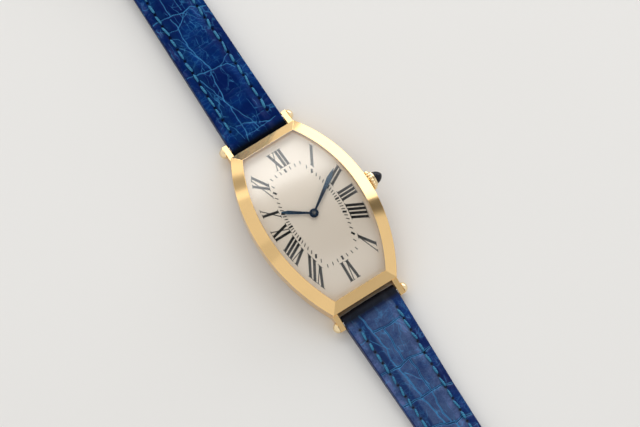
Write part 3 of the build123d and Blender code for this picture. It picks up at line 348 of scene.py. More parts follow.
leatherTones = {
    "deep": tint(0, 24, 80),
    "mid": tint(0, 50, 114),
    "fold": tint(66, 142, 198),
    # painted sheen: the grey-blue that the scales' domes take where they face the light
    "domeSheen": tint(66, 88, 128),
    # painted highlight along the borders and the slope towards the light
    "sheen": tint(92, 106, 160),
    # painted shade on the slope that faces away from the light
    "shade": tint(0, 42, 94),
    # painted shade in the cores of the deepest folds
    "creaseShade": tint(0, 24, 66),
    # the edge paint's tone, which also paints the shade in the stitch holes and the groove and the shadow of
    # the case
    "hole": tint(0, 6, 18),
    "wrinkleShare": 0.4,
    "fineShare": 0.16,
}


def makeLeather(name, domeSheenShare, sheenShare, creaseShadeShare, gloss):
    # glazed alligator: scales between light wrinkles, with a grey painted sheen on the scales' domes where
    # they face the light, painted sheen along the borders and painted shade on the slopes and in the fold
    # cores
    tones = leatherTones
    finish = Finish(name)
    fold, swell, edge, shade, sheen = [finish.node("Attribute", output="Fac", attribute_name=key)
                                       for key in ("fold", "swell", "edge", "shade", "sheen")]
    cloud = finish.noise(0.35, detail=1.5, output="Color")
    along = finish.pushed(finish.place((1, 0.3, 1)), cloud, 2.2)
    across = finish.pushed(finish.place((0.5, 1, 1), (0, 0, 0.9)), cloud, 2.0)
    patches = finish.noise(0.16, detail=3)
    speckle = finish.noise(3.2, detail=5, rough=0.7)
    drift = finish.noise(0.42, detail=3)
    wrinkles = finish.clear(finish.cells(0.62, along, "DISTANCE_TO_EDGE"), 0.01, 0.05)
    wrinkleLine = (1 - wrinkles) * finish.clear(drift, 0.45, 0.68)
    fine = finish.clear(finish.cells(0.95, across, "DISTANCE_TO_EDGE"), 0.01, 0.06)
    fineLine = (1 - fine) * finish.clear(patches, 0.46, 0.62)

    # the ground, with the painted sheen on the domes, the painted sheen along the borders and the painted
    # shade on the slopes over it
    tone = finish.mix(finish.clear(patches + speckle * 0.3, 0.5, 0.95), tones["deep"], tones["mid"])
    # painted sheen on the scales' domes
    sheenVeil = finish.clear(speckle * 0.5 + drift * 0.6, 0.2, 0.75) * (1 - shade)
    tone = finish.mix(finish.clear(swell, 0.22, 0.5) * domeSheenShare * sheenVeil, tone, tones["domeSheen"])
    # painted sheen along the borders and the right slope
    glint = sheen * sheenShare * finish.clear(speckle * 0.5 + drift, 0.66, 1.0)
    tone = finish.mix(glint, tone, tones["sheen"])
    # painted shade on the left slope
    tone = finish.mix(shade * 0.8 * finish.clear(drift, 0.3, 0.5), tone, tones["shade"])

    # the folds' light rims and the painted shade in their cores, the wrinkles, and the edge paint with the
    # painted shade of the holes
    rim = finish.clear(fold * (0.75 + speckle * 0.5), 0.3, 0.76) * (0.25 + drift * 0.8)
    # painted shade in the fold cores
    creaseShade = finish.clear(fold, 0.74, 0.93) * creaseShadeShare
    creased = wrinkleLine * tones["wrinkleShare"] + fineLine * tones["fineShare"]
    lines = finish.node("Clamp", {"Value": rim + creased})
    tone = finish.mix(creaseShade, finish.mix(lines, tone, tones["fold"]), tones["creaseShade"])
    height = speckle * 0.2 - wrinkleLine * 0.4 - fineLine * 0.2
    rough = 0.3 + speckle * 0.14 + fold * 0.12 + edge * 0.15
    # edge paint on the sides, with painted shade in the stitch holes and groove and the painted shadow of the
    # case
    tone = finish.mix(edge, tone, tones["hole"])
    return finish.surface(tone, rough, finish.bump(height, 0.05, 0.8), shine=gloss)


liningTones = {"dark": tint(34, 50, 84), "light": tint(52, 70, 108)}


def makeLining(name):
    finish = Finish(name)
    pores = finish.cells(2.6)
    cloud = finish.noise(0.2, detail=3)
    grain = finish.noise(4, detail=4)
    tone = finish.mix(cloud * 0.6 + grain * 0.4, liningTones["dark"], liningTones["light"])
    return finish.surface(tone, 0.5 + grain * 0.15, finish.bump(pores * 0.6 + grain * 0.4, 0.05, 0.6))


threadTones = {"dark": tint(2, 66, 116), "light": tint(54, 152, 190)}


def makeThread(name):
    # waxed twisted thread
    finish = Finish(name)
    twist = finish.wave(1.5, warp=0.4)
    fuzz = finish.noise(7, detail=3)
    worn = finish.noise(0.9, detail=2)
    tone = finish.mix(twist * 0.6 + worn * 0.6 - 0.15, threadTones["dark"], threadTones["light"])
    return finish.surface(tone, 0.55 + fuzz * 0.15, finish.bump(twist, 0.04, 0.7))


backGold = makeGold("brushedGold", 0.16)
# a paler copy of the gold that makes the crown and the bar screws' domes read lighter, painted light
crownGold = makeGold("beadedGold", 0.08, (0.95, 0.76, 0.46, 1), 0.0)
printFinish = makeGrained("blackPrint")
# one leather in two copies that differ in painted light: the tail's has a strong painted sheen and painted
# shade in its fold cores, the short half's and the keepers' only a faint painted sheen
shortLeather = makeLeather("alligatorFaintSheen", 0.0, 0.3, 0.0, 0.05)
tailLeather = makeLeather("alligatorDomeSheen", 0.92, 0.95, 0.95, 0.2)
liningLeather = makeLining("liningLeather")
threadFinish = makeThread("blueThread")

# one finish for each slot of the CAD, and the nodes that have one of their own
slotFinishes = {
    "gold": makeGold("polishedGold"),
    "crystal": makeCrystal("clearCrystal"),
    "gasket": makeGrained("rubber"),
    "dial": makeDial("ivoryDial"),
    "blued_steel": makeBluedSteel("bluedSteel"),
    "plate_metal": makeStriped("stripedPlate"),
    "wheel_brass": makeMetal("giltBrass"),
    "steel": makeMetal("steel"),
    "cabochon": makeGrained("darkStone"),
    "blue_leather": shortLeather,
    "lining_leather": liningLeather,
}
ownFinishes = {
    "case_back": backGold, "case_back_screws": backGold,
    "crown": crownGold, "bar_screws": crownGold,
}
for name, node in nodes.items():
    for slot in node.material_slots:
        slot.material = ownFinishes.get(name) or slotFinishes[slot.material.name.split(".")[0]]
print("materials ready")


# Shared modelling helpers

def placeMesh(form, name, finish=None):
    # turns a form into an object of the scene, in metres
    bmesh.ops.scale(form, vec=(metre, metre, metre), verts=form.verts)
    mesh = bpy.data.meshes.new(name)
    form.to_mesh(mesh)
    form.free()
    if finish:
        mesh.materials.append(finish)
    piece = bpy.data.objects.new(name, mesh)
    bpy.context.scene.collection.objects.link(piece)
    return piece


def finishMesh(form, name, finish, body, stands=(), smooth=True):
    bmesh.ops.recalc_face_normals(form, faces=form.faces)
    piece = placeMesh(form, name, finish)
    for face in piece.data.polygons:
        face.use_smooth = smooth
    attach(piece, body)
    if stands:
        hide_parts(*stands)
    return piece


def gridVerts(form, rows, columns):
    # a grid's vertices with their row and column; the last column falls on the first
    bmesh.ops.create_grid(form, x_segments=columns, y_segments=rows - 1, size=1)
    made = []
    for vert in form.verts:
        row = round((vert.co.y + 1) / 2 * (rows - 1))
        column = round((vert.co.x + 1) / 2 * columns)
        made.append((vert, row, column % columns))
    return made


def closeSkin(form):
    # joins a grid's two edges where they meet and closes its ends
    bmesh.ops.remove_doubles(form, verts=form.verts, dist=0.002)
    bmesh.ops.holes_fill(form, edges=[edge for edge in form.edges if edge.is_boundary], sides=0)


# Numerals and minute track

# Each stem runs from its end nearest the centre outwards; a thin one is a hairline
numerals = {
    "stem": 0.56,
    "hair": 0.18,
    "serif": 0.11,
    "overhang": 0.2,
    "serifLift": 0.001,
    "lift": 0.006,
    "thickness": 0.02,
    "lean": 0.035,             # how much a serif leans with the side of the dial
    "endHalf": 3,              # numerals nearer the middle line than this stand at the dial's two ends
    "leastSlant": 0.25,
    "shift": (0.11, 0.0, 0.0),
    "trackShift": (0.1, 0.14, 0.0),
    "cutStep": 0.5,
    "cutReach": 16,
    "strokes": {
        "XII": (("stem", -0.22, 11.75, -1.13, 15.75), ("hair", -1.30, 11.75, 0.06, 15.75),
                ("stem", 0.62, 11.75, 0.62, 15.75), ("stem", 1.34, 11.75, 1.34, 15.75)),
        "I": (("stem", 5.12, 8.75, 7.38, 12.72),),
        "II": (("stem", 6.20, 4.12, 9.42, 5.80), ("stem", 6.25, 3.15, 9.48, 4.92)),
        "III": (("stem", 6.27, 0.94, 9.72, 0.94), ("stem", 6.27, 0.14, 9.72, 0.14),
        ("stem", 6.27, -0.66, 9.72, -0.66)),
        "IIII": (("stem", 6.22, -2.00, 9.52, -3.66), ("stem", 6.16, -2.88, 9.44, -4.54),
                 ("stem", 6.06, -3.76, 9.26, -5.42), ("stem", 5.92, -4.64, 9.04, -6.28)),
        "V": (("stem", 5.06, -8.62, 7.42, -11.72), ("hair", 4.98, -8.62, 6.90, -13.10)),
        "VI": (("stem", -0.76, -11.35, -0.76, -15.45), ("stem", 0.38, -11.45, 0.86, -15.45),
               ("hair", 0.30, -11.45, -0.26, -15.45)),
        "VII": (("stem", -5.50, -6.68, -7.66, -10.60), ("stem", -5.14, -7.98, -7.30, -11.68),
                ("hair", -4.84, -9.50, -6.98, -12.40), ("stem", -4.80, -9.62, -6.58, -13.50)),
        "VIII": (("stem", -6.18, -1.90, -9.34, -3.48), ("stem", -6.14, -2.80, -9.26, -4.38),
                 ("stem", -6.04, -3.68, -9.12, -5.28), ("hair", -5.98, -4.86, -9.02, -5.86),
                 ("stem", -6.04, -4.96, -8.76, -6.96)),
        "IX": (("stem", -6.12, -0.60, -9.62, -0.60), ("stem", -6.16, 1.00, -9.66, 0.18),
               ("hair", -6.18, -0.02, -9.60, 1.26)),
        "X": (("stem", -5.98, 4.16, -9.18, 4.95), ("hair", -6.06, 3.00, -9.02, 6.18)),
        "XI": (("stem", -4.56, 9.88, -6.58, 13.40), ("stem", -4.78, 9.22, -7.42, 11.60),
               ("hair", -5.24, 7.42, -6.96, 12.86)),
    },
}


def serifWay(x, y):
    # serifs lie along the dial's edge: level at its two ends, leaning with the sides elsewhere
    if abs(x) < numerals["endHalf"]:
        return Vector((1, 0, 0))
    return Vector((-y * numerals["lean"] * (1 if x > 0 else -1), 1, 0)).normalized()


def cutHalf(width, along, way):
    # half the length of a stroke's end that is cut on the slant
    return width / 2 / max(numerals["leastSlant"], abs(along.x * way.y - along.y * way.x))


def drawBar(form, start, end, width, ways, height=0):
    # a flat stroke whose two ends are cut along the given ways
    along = (end - start).normalized()
    corners = []
    for point, way in zip((start, end), ways):
        half = cutHalf(width, along, way)
        side = way if along.cross(way).z > 0 else -way
        corners.append((point - side * half, point + side * half))
    ring = (corners[0][0], corners[1][0], corners[1][1], corners[0][1])
    form.faces.new([form.verts.new((point.x, point.y, height)) for point in ring])


def layOnDial(form, name, shift):
    # cuts the flat shapes across in short steps and lays them on the bent dial
    bmesh.ops.translate(form, vec=shift, verts=form.verts)
    cuts = int(numerals["cutReach"] / numerals["cutStep"])
    for cut in range(-cuts, cuts + 1):
        bmesh.ops.bisect_plane(form, geom=form.verts[:] + form.edges[:] + form.faces[:], dist=1e-5,
                               plane_co=(0, cut * numerals["cutStep"], 0), plane_no=(0, 1, 0))
    bmesh.ops.recalc_face_normals(form, faces=form.faces)
    raised = bmesh.ops.extrude_face_region(form, geom=form.faces[:])
    top = [item for item in raised["geom"] if isinstance(item, bmesh.types.BMVert)]
    bmesh.ops.translate(form, vec=(0, 0, numerals["thickness"]), verts=top)
    for vert in form.verts:
        vert.co.z += case["dialHeight"] + numerals["lift"] - sag(vert.co.y)
    finishMesh(form, name, printFinish, "root", smooth=False)


def makeNumerals():
    form = bmesh.new()
    for kind, x0, y0, x1, y1 in [stroke for strokes in numerals["strokes"].values() for stroke in strokes]:
        start, end = Vector((x0, y0, 0)), Vector((x1, y1, 0))
        ways = (serifWay(x0, y0), serifWay(x1, y1))
        drawBar(form, start, end, numerals[kind], ways)
        along = (end - start).normalized()
        for point, way in zip((start, end), ways):
            reach = cutHalf(numerals[kind], along, way) + numerals["overhang"]
            drawBar(form, point - way * reach, point + way * reach, numerals["serif"], (along, along),
                    numerals["serifLift"])
    layOnDial(form, "numerals", numerals["shift"])


track = {
    "side": 5.55,
    "sideRadius": 27.4,
    "end": 10.7,
    "searchReach": 30.0,
    "halvings": 40,
    "shortDash": 0.72,
    "shortWidth": 0.17,
    "longDash": 0.86,
    "longWidth": 0.4,
}


def trackPlace(minute):
    # where a minute's ray meets the track's outline, found by halving
    angle = radians(6 * minute)
    way = Vector((sin(angle), cos(angle), 0))
    low, high = 0.0, track["searchReach"]
    for _ in range(track["halvings"]):
        middle = (low + high) / 2
        point = way * middle
        side = track["side"] - track["sideRadius"] + sqrt(max(0, track["sideRadius"] ** 2 - point.y ** 2))
        if abs(point.x) < side and abs(point.y) < track["end"]:
            low = middle
        else:
            high = middle
    return way * low, way


def makeTrack():
    form = bmesh.new()
    for minute in range(60):
        point, way = trackPlace(minute)
        kind = "long" if minute % 5 == 0 else "short"
        half = way * track[kind + "Dash"] / 2
        across = way.cross(Vector((0, 0, 1)))
        drawBar(form, point - half, point + half, track[kind + "Width"], (across, across))
    layOnDial(form, "minute_track", numerals["trackShift"])


makeNumerals()
makeTrack()
print("dial printed")


# Strap

# Places are measured from the bar along the half; the folds are given as x and as the
# distance from the case's middle
strap = {
    "loopRadius": 1.75,
    "boreRadius": 0.79,
    "loopRun": 5.5,            # how far the grain runs round the loop
    # rows of the turned-in end: distance from the bar and height over the lining
    "flap": ((1.7, -0.04), (1.1, -0.04), (0.5, 0.06)),
    "thin": 0.15,              # padding share under the loop
    "crownStep": 0.13,         # rows over the loop's top, where the padding begins
    "crownTurn": 10.5,
    "straightStart": 1.9,
    "step": 0.16,
    "topColumns": 104,
    "underColumns": 10,
    "lining": 0.8,
    "glueGap": 0.02,
    "edgeDrop": 0.62,
    "borderRise": 0.12,
    "border": 2.15,
    "borderSoft": 0.2,
    "shoulder": 3.7,
    "tipLength": 7.5,
    "tipPower": 2.5,
    "corner": 0.32,
    "stitchInset": 1.9,
    "foldDepth": 0.16,
    "foldStray": 0.12,         # how far a drawn fold wanders, and how quickly
    "foldWaves": (2.1, 2.3),
    "waves": ((0.03, 1.1), (0.015, 4.3)),   # height and quickness of the top's own waves
    "finestFold": 0.12,        # what the grid's steps can still draw as an unbroken line
    "swellDepth": 0.14,
    "swellWidth": 0.75,
    "grooveWidth": 0.3,
    "grooveDepth": 0.07,
    "holeDepth": 0.2,
    "far": 9.0,
}

# The short half's end, where the leather turns round the buckle's bar
buckleEnd = {
    "floor": 0.05,
    "radius": 1.15,
    "bore": 0.62,
    "run": 3.6,
    "padding": 0.3,
    "turnedIn": 0.75,
    "topStep": 0.26,
    "topInset": 1.6,
    "lastStitch": 3.4,
}

shortHalf = {
    "name": "strap_12",
    "way": 1,
    "length": 75.0,
    "stitchPitch": 2.95,
    "foldWidth": 0.13,
    # painted shadow of the case on the half's end by the bar
    "caseShade": 0.7,          # where the dark part by the case ends
    "stitchStart": 3.0,
    "madeFrom": 52.3,          # where the photograph's edge cuts the half off
    "stations": ((-3, 6.4, 0, 3.5), (1.75, 6.4, 0, 3.5), (14, 6.25, 0.1875, 3.4), (38, 6.1, 0.75, 3.05),
                 (69, 6.1, 0.75, 3.05), (73.5, 6.1, 0.05, 2.35), (80, 6.1, 0.05, 2.35)),
    "folds": (
        (1.0, ((-6.6, 52.6), (-4.3, 52.7), (-1.5, 52.2), (1.0, 51.5), (2.9, 52.0), (6.2, 50.4))),
        (0.8, ((1.0, 51.5), (-0.6, 49.8), (-2.1, 49.0), (-4.0, 49.5), (-5.0, 50.2), (-6.4, 51.4))),
        (0.7, ((1.0, 51.5), (1.9, 50.4), (2.9, 48.9), (3.6, 48.4))),
        (1.0, ((-6.5, 39.2), (-4.3, 38.7), (-2.4, 38.1), (-0.9, 37.9), (1.3, 37.6), (2.9, 37.3),
              (3.8, 36.0))),
        (0.7, ((1.3, 37.6), (3.5, 38.9), (4.4, 39.6))),
        (0.5, ((3.4, 36.9), (4.6, 36.7), (6.3, 36.9))),
        (0.5, ((-6.4, 40.5), (-5.0, 40.8), (-3.8, 40.1))),
        (1.0, ((-3.0, 24.9), (-1.2, 24.5), (1.3, 23.4), (3.5, 22.3), (5.2, 22.7))),
        (0.6, ((1.0, 24.8), (2.4, 24.6), (3.7, 24.8))),
        (0.6, ((-1.8, 22.0), (1.0, 22.1), (3.5, 22.3))),
        (0.9, ((-2.0, 51.7), (-1.7, 49.5), (-2.06, 47.0), (-2.0, 44.5), (-1.7, 42.0), (-0.8, 38.9),
              (-0.7, 37.9))),
        (0.9, ((-1.0, 37.6), (-1.5, 35.4), (-1.65, 32.6), (-2.0, 30.8), (-1.65, 28.9), (-1.8, 26.1),
              (-1.65, 23.6), (-2.3, 20.6))),
        (0.6, ((-4.0, 48.0), (-3.0, 47.0), (-2.3, 45.4), (-2.0, 43.9))),
        (0.7, ((-3.8, 37.3), (-3.2, 34.8), (-2.6, 32.6), (-1.8, 30.8))),
        (0.5, ((-3.8, 35.1), (-3.5, 32.3), (-2.9, 29.5))),
        (0.8, ((-1.5, 28.9), (-0.6, 27.0), (0.4, 24.8), (1.0, 22.3))),
        (0.6, ((-4.3, 26.7), (-3.4, 24.5), (-2.7, 21.4))),
        (0.7, ((-3.8, 45.4), (-2.3, 43.2), (-1.2, 40.1), (-0.9, 38.2))),
        (0.4, ((-2.4, 37.6), (-2.75, 35.4), (-2.7, 33.4))),
        (0.4, ((-0.6, 42.9), (1.2, 42.8), (3.2, 43.2))),
        (0.35, ((-1.4, 43.4), (0.8, 43.6), (1.4, 44.9))),
        (0.35, ((-1.5, 31.7), (0.6, 31.9), (2.9, 31.8))),
        (0.3, ((-0.8, 30.6), (1.2, 30.8), (3.4, 30.6))),
        (0.3, ((0.4, 47.1), (1.8, 46.7), (3.3, 46.0))),
        (0.35, ((4.4, 45.7), (5.1, 45.2), (6.2, 44.4))),
        (0.3, ((4.2, 34.2), (5.2, 33.0), (6.2, 31.4))),
        (0.3, ((-6.3, 35.4), (-5.4, 35.5), (-4.6, 35.0))),
        (0.35, ((-6.3, 28.0), (-5.2, 28.3), (-4.2, 27.4))),
        (0.3, ((4.0, 27.4), (5.0, 26.6), (6.3, 26.9))),
    ),
    "rows": (67.0, 79.5, 90.5),
}

tailHalf = {
    "name": "strap_6",
    "way": -1,
    "length": 115.0,
    "stitchPitch": 2.7,
    "foldWidth": 0.28,
    "caseShade": 2.2,
    "stitchStart": 2.9,
    "madeFrom": 50.0,
    "stations": ((-3, 6.4, 0, 3.5), (1.75, 6.4, 0, 3.5), (22, 5.8, 0, 2.65), (60, 5.25, 0, 2.3),
                 (120, 5.25, 0, 2.3)),
    "folds": (
        (1.0, ((-2.5, 26.2), (-0.9, 26.6), (1.3, 26.8), (3.9, 26.5))),
        (0.6, ((-6.2, 27.1), (-5.4, 27.2), (-4.7, 27.0))),
        (1.0, ((-6.0, 34.4), (-3.4, 34.8), (-1.5, 35.1), (0.4, 34.5), (2.6, 34.9), (4.1, 35.1), (6.1, 34.8))),
        (1.0, ((-5.9, 42.2), (-2.7, 42.4), (-0.9, 42.6), (1.6, 42.5), (3.5, 42.6), (4.4, 43.0), (6.0, 43.5))),
        (1.0, ((-5.8, 48.9), (-1.8, 48.9), (0.0, 49.8), (1.9, 50.5), (3.5, 50.1), (5.8, 50.9))),
        (0.8, ((-3.1, 21.9), (-2.75, 25.1), (-2.4, 27.9), (-2.0, 30.7), (-2.6, 32.9), (-2.3, 34.6))),
        (0.9, ((-0.25, 26.9), (-0.1, 29.1), (-0.4, 31.6), (-0.25, 34.4))),
        (0.5, ((-3.9, 27.2), (-2.75, 29.4), (-1.5, 30.9))),
        (0.8, ((-2.1, 35.3), (-1.65, 37.9), (-1.5, 39.8), (-1.3, 42.4))),
        (0.9, ((0.7, 34.8), (1.0, 37.3), (0.8, 39.8), (1.0, 42.4))),
        (0.6, ((-1.5, 36.6), (-0.25, 38.2), (1.0, 40.1), (1.4, 41.2))),
        (0.8, ((-1.3, 42.9), (-0.9, 45.0), (-0.6, 47.3), (-0.25, 49.4))),
        (0.8, ((1.0, 42.9), (0.7, 45.0), (0.5, 47.3), (1.0, 49.8))),
        (0.35, ((0.4, 31.2), (1.6, 31.9), (3.2, 31.5))),
        (0.3, ((-3.6, 37.9), (-2.7, 38.4), (-1.9, 38.0))),
        (0.35, ((2.6, 27.2), (3.5, 28.4), (3.9, 30.0))),
        (0.3, ((4.6, 30.0), (5.3, 30.3), (6.1, 29.8))),
        (0.3, ((4.4, 38.6), (5.2, 38.9), (6.0, 38.5))),
    ),
    "rows": (57.5, 65.0, 72.6, 80.4, 87.6, 95.0, 102.4, 109.6, 117.2, 124.6, 131.6),
}


def strapShape(half, place):
    # half width, floor and top of the half at a place
    at, *measures = zip(*half["stations"])
    return [float(np.interp(place, at, measure)) for measure in measures]


def tipShare(half, place):
    # how the tail's end closes in a round point
    tip, power = strap["tipLength"], strap["tipPower"]
    if half["way"] > 0 or place < half["length"] - tip:
        return 1.0
    share = min(1.0, (place - half["length"] + tip) / tip)
    return max(0.0, 1 - share ** power) ** (1 / power)


def strapPoint(half, x, y, z):
    # from a half's own measures to the watch's frame
    return Vector((x * half["way"], (case["barY"] + y) * half["way"], case["tableZ"] + z))


def ringPoint(radius, y, z, angle):
    return y + radius * cos(angle), z + radius * sin(angle)


def straightRow(half, y):
    floor, top = strapShape(half, y)[1:]
    return (y, floor + strap["lining"] + strap["glueGap"], y, top, y, 1.0)


def strapLine(half):
    # side view of a half: (inner y, inner z, outer y, outer z, place, padding share)
    loop, bore, lining = strap["loopRadius"], strap["boreRadius"], strap["lining"]
    run, thin = strap["loopRun"], strap["thin"]
    line = []
    for y, lift in strap["flap"]:
        line.append((y, lining + lift, y, 0.0, -run - y, thin))
    for step in range(19):
        angle = radians(-90 - 10 * step)
        padding = thin + (1 - thin) * max(0, sin(angle)) ** 2
        line.append((*ringPoint(bore, 0, loop, angle), *ringPoint(loop, 0, loop, angle),
                     -run + run * step / 18, padding))
    for step in range(1, 13):
        y = strap["crownStep"] * step
        angle = radians(90 - strap["crownTurn"] * step)
        line.append((*ringPoint(bore, 0, loop, angle), y, strapShape(half, y)[2], y, 1.0))
    start, last = strap["straightStart"], half["length"]
    stop = last - (start if half["way"] > 0 else strap["tipLength"])
    count = int((stop - start) / strap["step"])
    line += [straightRow(half, start + (stop - start) * step / count) for step in range(count + 1)]
    if half["way"] < 0:
        turns = [radians(3 * step) for step in range(1, 31)]
        return line + [straightRow(half, stop + strap["tipLength"] * sin(turn)) for turn in turns]
    floor, radius, bore, padding = [buckleEnd[key] for key in ("floor", "radius", "bore", "padding")]
    middle = floor + radius
    for step in range(7):
        y = last - buckleEnd["topInset"] + buckleEnd["topStep"] * step
        inner = ringPoint(bore, last, middle, radians(220 - 20 * step))
        line.append((*inner, y, strapShape(half, y)[2], y, 1.0 - 0.1 * step))
    for step in range(1, 17):
        angle = radians(90 - 180 * step / 16)
        line.append((*ringPoint(bore, last, middle, angle), *ringPoint(radius, last, middle, angle),
                     last + buckleEnd["run"] * step / 16, padding))
    inner = floor + lining * buckleEnd["turnedIn"]
    for y, _ in reversed(strap["flap"]):
        line.append((last - y, inner, last - y, floor, last + buckleEnd["run"] + y, padding))
    return line


def strapSection():
    # around a section: (side, place across from -1 to 1, share of the height or angle)
    columns, under = strap["topColumns"], strap["underColumns"]
    wall = [("wall", share) for share in (0.0, 0.3, 0.6, 0.85)]
    wall += [("corner", radians(angle)) for angle in (0, 30, 60)]
    ring = [(kind, -1, height) for kind, height in wall]
    ring += [("top", -1 + 2 * step / columns, 1) for step in range(columns + 1)]
    ring += [(kind, 1, height) for kind, height in reversed(wall)]
    return ring + [("base", 1 - 2 * step / under, 0) for step in range(1, under + 1)]


def padDrop(distance):
    # how far the top lies under the crown, at a distance in from the edge
    border, soft = strap["border"], strap["borderSoft"]
    rise = min(1.0, distance / border)
    hill = min(1.0, max(0.0, (distance - border + soft) / (strap["shoulder"] - border + soft)))
    hill = hill * hill * (3 - 2 * hill)
    return (strap["edgeDrop"] - strap["borderRise"] * rise) * (1 - hill)


def segmentDistance(x, y, first, last):
    first, last = np.array(first), np.array(last)
    way = last - first
    share = np.clip(((x - first[0]) * way[0] + (y - first[1]) * way[1]) / (way @ way), 0, 1)
    return np.hypot(x - first[0] - share * way[0], y - first[1] - share * way[1])


def lengthFold(dice, x, start, end, shares, stray):
    # a fold along the strap that strays a little to its sides
    run = end - start
    return (0.8, tuple((x + dice.uniform(-stray, stray), start + run * share) for share in shares))


# The folds made up beyond the photograph's edge
madeFolds = {
    "across": (-6.4, -3.8, -1.6, 0.6, 2.8, 4.4, 6.4),
    "rowStray": 0.6,
    "lastRow": 7.5,
    "rowLengths": ((-2.8, -1.6), (0.2, 1.8)),
    "firstLengths": ((-2.4, -1.8), (0.6, 1.6)),
    "shortChance": 0.6,
    "shortStray": 0.8,
    "sideStart": 3,
    "sideStep": (3.5, 6.5),
}


def moreFolds(half, seed):
    # scale rows beyond the photograph's edge, with the same wandering folds
    dice = random.Random(seed)
    folds = []
    rows, start = half["rows"], half["madeFrom"]
    stray, shortStray = madeFolds["rowStray"], madeFolds["shortStray"]
    for row, after in zip(rows, rows[1:] + (rows[-1] + madeFolds["lastRow"],)):
        folds.append((1.0, tuple((x, row + dice.uniform(-stray, stray)) for x in madeFolds["across"])))
        for x in [dice.uniform(*span) for span in madeFolds["rowLengths"]]:
            folds.append(lengthFold(dice, x, row, after, (0, 0.3, 0.65, 1), 0.35))
        if dice.random() < madeFolds["shortChance"]:
            y = row + (after - row) * dice.uniform(0.3, 0.7)
            bends = [(x, y + dice.uniform(-shortStray, shortStray)) for x in (-1.2, 1.0)]
            folds.append((0.4, ((-3.4, y), *bends)))
    for x in [dice.uniform(*span) for span in madeFolds["firstLengths"]]:
        folds.append(lengthFold(dice, x, start, rows[0], (0, 0.35, 0.7, 1), 0.3))
    for side in (-1, 1):
        place = start + madeFolds["sideStart"]
        while place < rows[-1]:
            folds.append((0.4, ((side * 4.2, place), (side * 5.2, place + dice.uniform(-0.5, 0.5)),
                                (side * 6.4, place + dice.uniform(-0.6, 0.6)))))
            place += dice.uniform(*madeFolds["sideStep"])
    return tuple(folds)


def wander(x, y, scale, seed):
    # smooth waves that keep drawn lines from looking ruled
    waves = ((x * 1.7, 1), (y * 1.3, 2), ((x + y) * 0.9, 3))
    return sum(np.sin(wave * scale + turn * seed) for wave, turn in waves) / 3


def bandShare(distance, low, high, soft):
    # 1 between low and high, fading out over soft
    return np.clip((distance - low) / soft, 0, 1) * np.clip((high - distance) / soft, 0, 1)


# Stitching values, which the strap's grooves and holes follow too
stitches = {
    "radius": 0.27,
    "flatness": 0.7,
    "lengthShare": 0.40,
    # how far length, stray, lean and girth may vary
    "uneven": ((0.82, 1.06), (-0.15, 0.15), (-0.1, 0.14), (0.8, 1.1)),
    "slant": 0.1,
    "sink": 0.2,
    "proud": 0.03,
    "underSink": 0.17,
    "trace": 0.2,
    "tipSteps": 40,
}


def sewnLines(half):
    # the lines that the stitches follow: up one side, and for the tail round its tip and back
    inset, tip, start = strap["stitchInset"], strap["tipLength"], half["stitchStart"]
    stop = half["length"] - (buckleEnd["lastStitch"] if half["way"] > 0 else tip)
    count = int((stop - start) / stitches["trace"])
    places = [start + (stop - start) * step / count for step in range(count + 1)]
    side = [(strapShape(half, place)[0] - inset, place) for place in places]
    if half["way"] > 0:
        return [side, [(-x, place) for x, place in side]]
    width, bend = side[-1][0], 2 / strap["tipPower"]
    for step in range(1, stitches["tipSteps"] + 1):
        angle = radians(90 * step / stitches["tipSteps"])
        side.append((width * max(0.0, cos(angle)) ** bend, stop + (tip - inset) * sin(angle) ** bend))
    return [side + [(-x, place) for x, place in reversed(side[:-1])]]


def sewnPlaces(half):
    # even steps along the sewn lines: the holes, and the stitches between them with their headings
    holes, seams = [], []
    for line in sewnLines(half):
        across, along = np.array(line).T
        run = np.concatenate(([0], np.cumsum(np.hypot(np.diff(across), np.diff(along)))))
        count = round(run[-1] / half["stitchPitch"])
        for step in range(count + 1):
            at = run[-1] * step / count
            holes.append((np.interp(at, run, across), np.interp(at, run, along)))
        for first, last in zip(holes[-count - 1:], holes[-count:]):
            heading = Vector((last[0] - first[0], last[1] - first[1])).normalized()
            seams.append(((first[0] + last[0]) / 2, (first[1] + last[1]) / 2, heading))
    return holes, seams


def sewnMarks(half, across, places, widths):
    # how deep the groove and the stitch holes are at each point of the strap's grid
    inset, tipLength, power = strap["stitchInset"], strap["tipLength"], strap["tipPower"]
    past = np.clip((places - half["length"] + tipLength) / (tipLength - inset), 0, None)
    tip = past if half["way"] < 0 else np.zeros_like(places)
    sewn, groove = widths - inset, strap["grooveWidth"]
    gap = (((np.abs(across) / sewn) ** power + tip ** power) ** (1 / power) - 1) * sewn
    begun = np.clip(places - half["stitchStart"] + 1, 0, 1)
    nearest = np.full(places.shape, strap["far"])
    for x, place in sewnPlaces(half)[0]:
        nearest = np.minimum(nearest, np.hypot(across - x, places - place))
    return np.exp(-(gap / groove) ** 2) * begun, np.exp(-(nearest / groove) ** 2)


# Strips of a half's top that take painted sheen and painted shade, as low, high and soft edge, measured in
# from its edge
strips = {
    "flatBorder": (-1.0, 2.1, 0.3),
    "leftShade": (2.0, 3.5, 0.45),
    "leftSheen": (0.05, 1.25, 0.3),
    "rightSheen": (2.2, 3.7, 0.5),
    "rightRim": (0.4, 1.5, 0.3),
}

# How dark the sides of a half are from their edge paint, and how dark the painted shade in its groove and the
# painted shadow by the case are
edgePaintAndShadeShares = {"wall": 0.35, "base": 0.5, "corner": 0.1, "groove": 0.35, "case": 0.95}


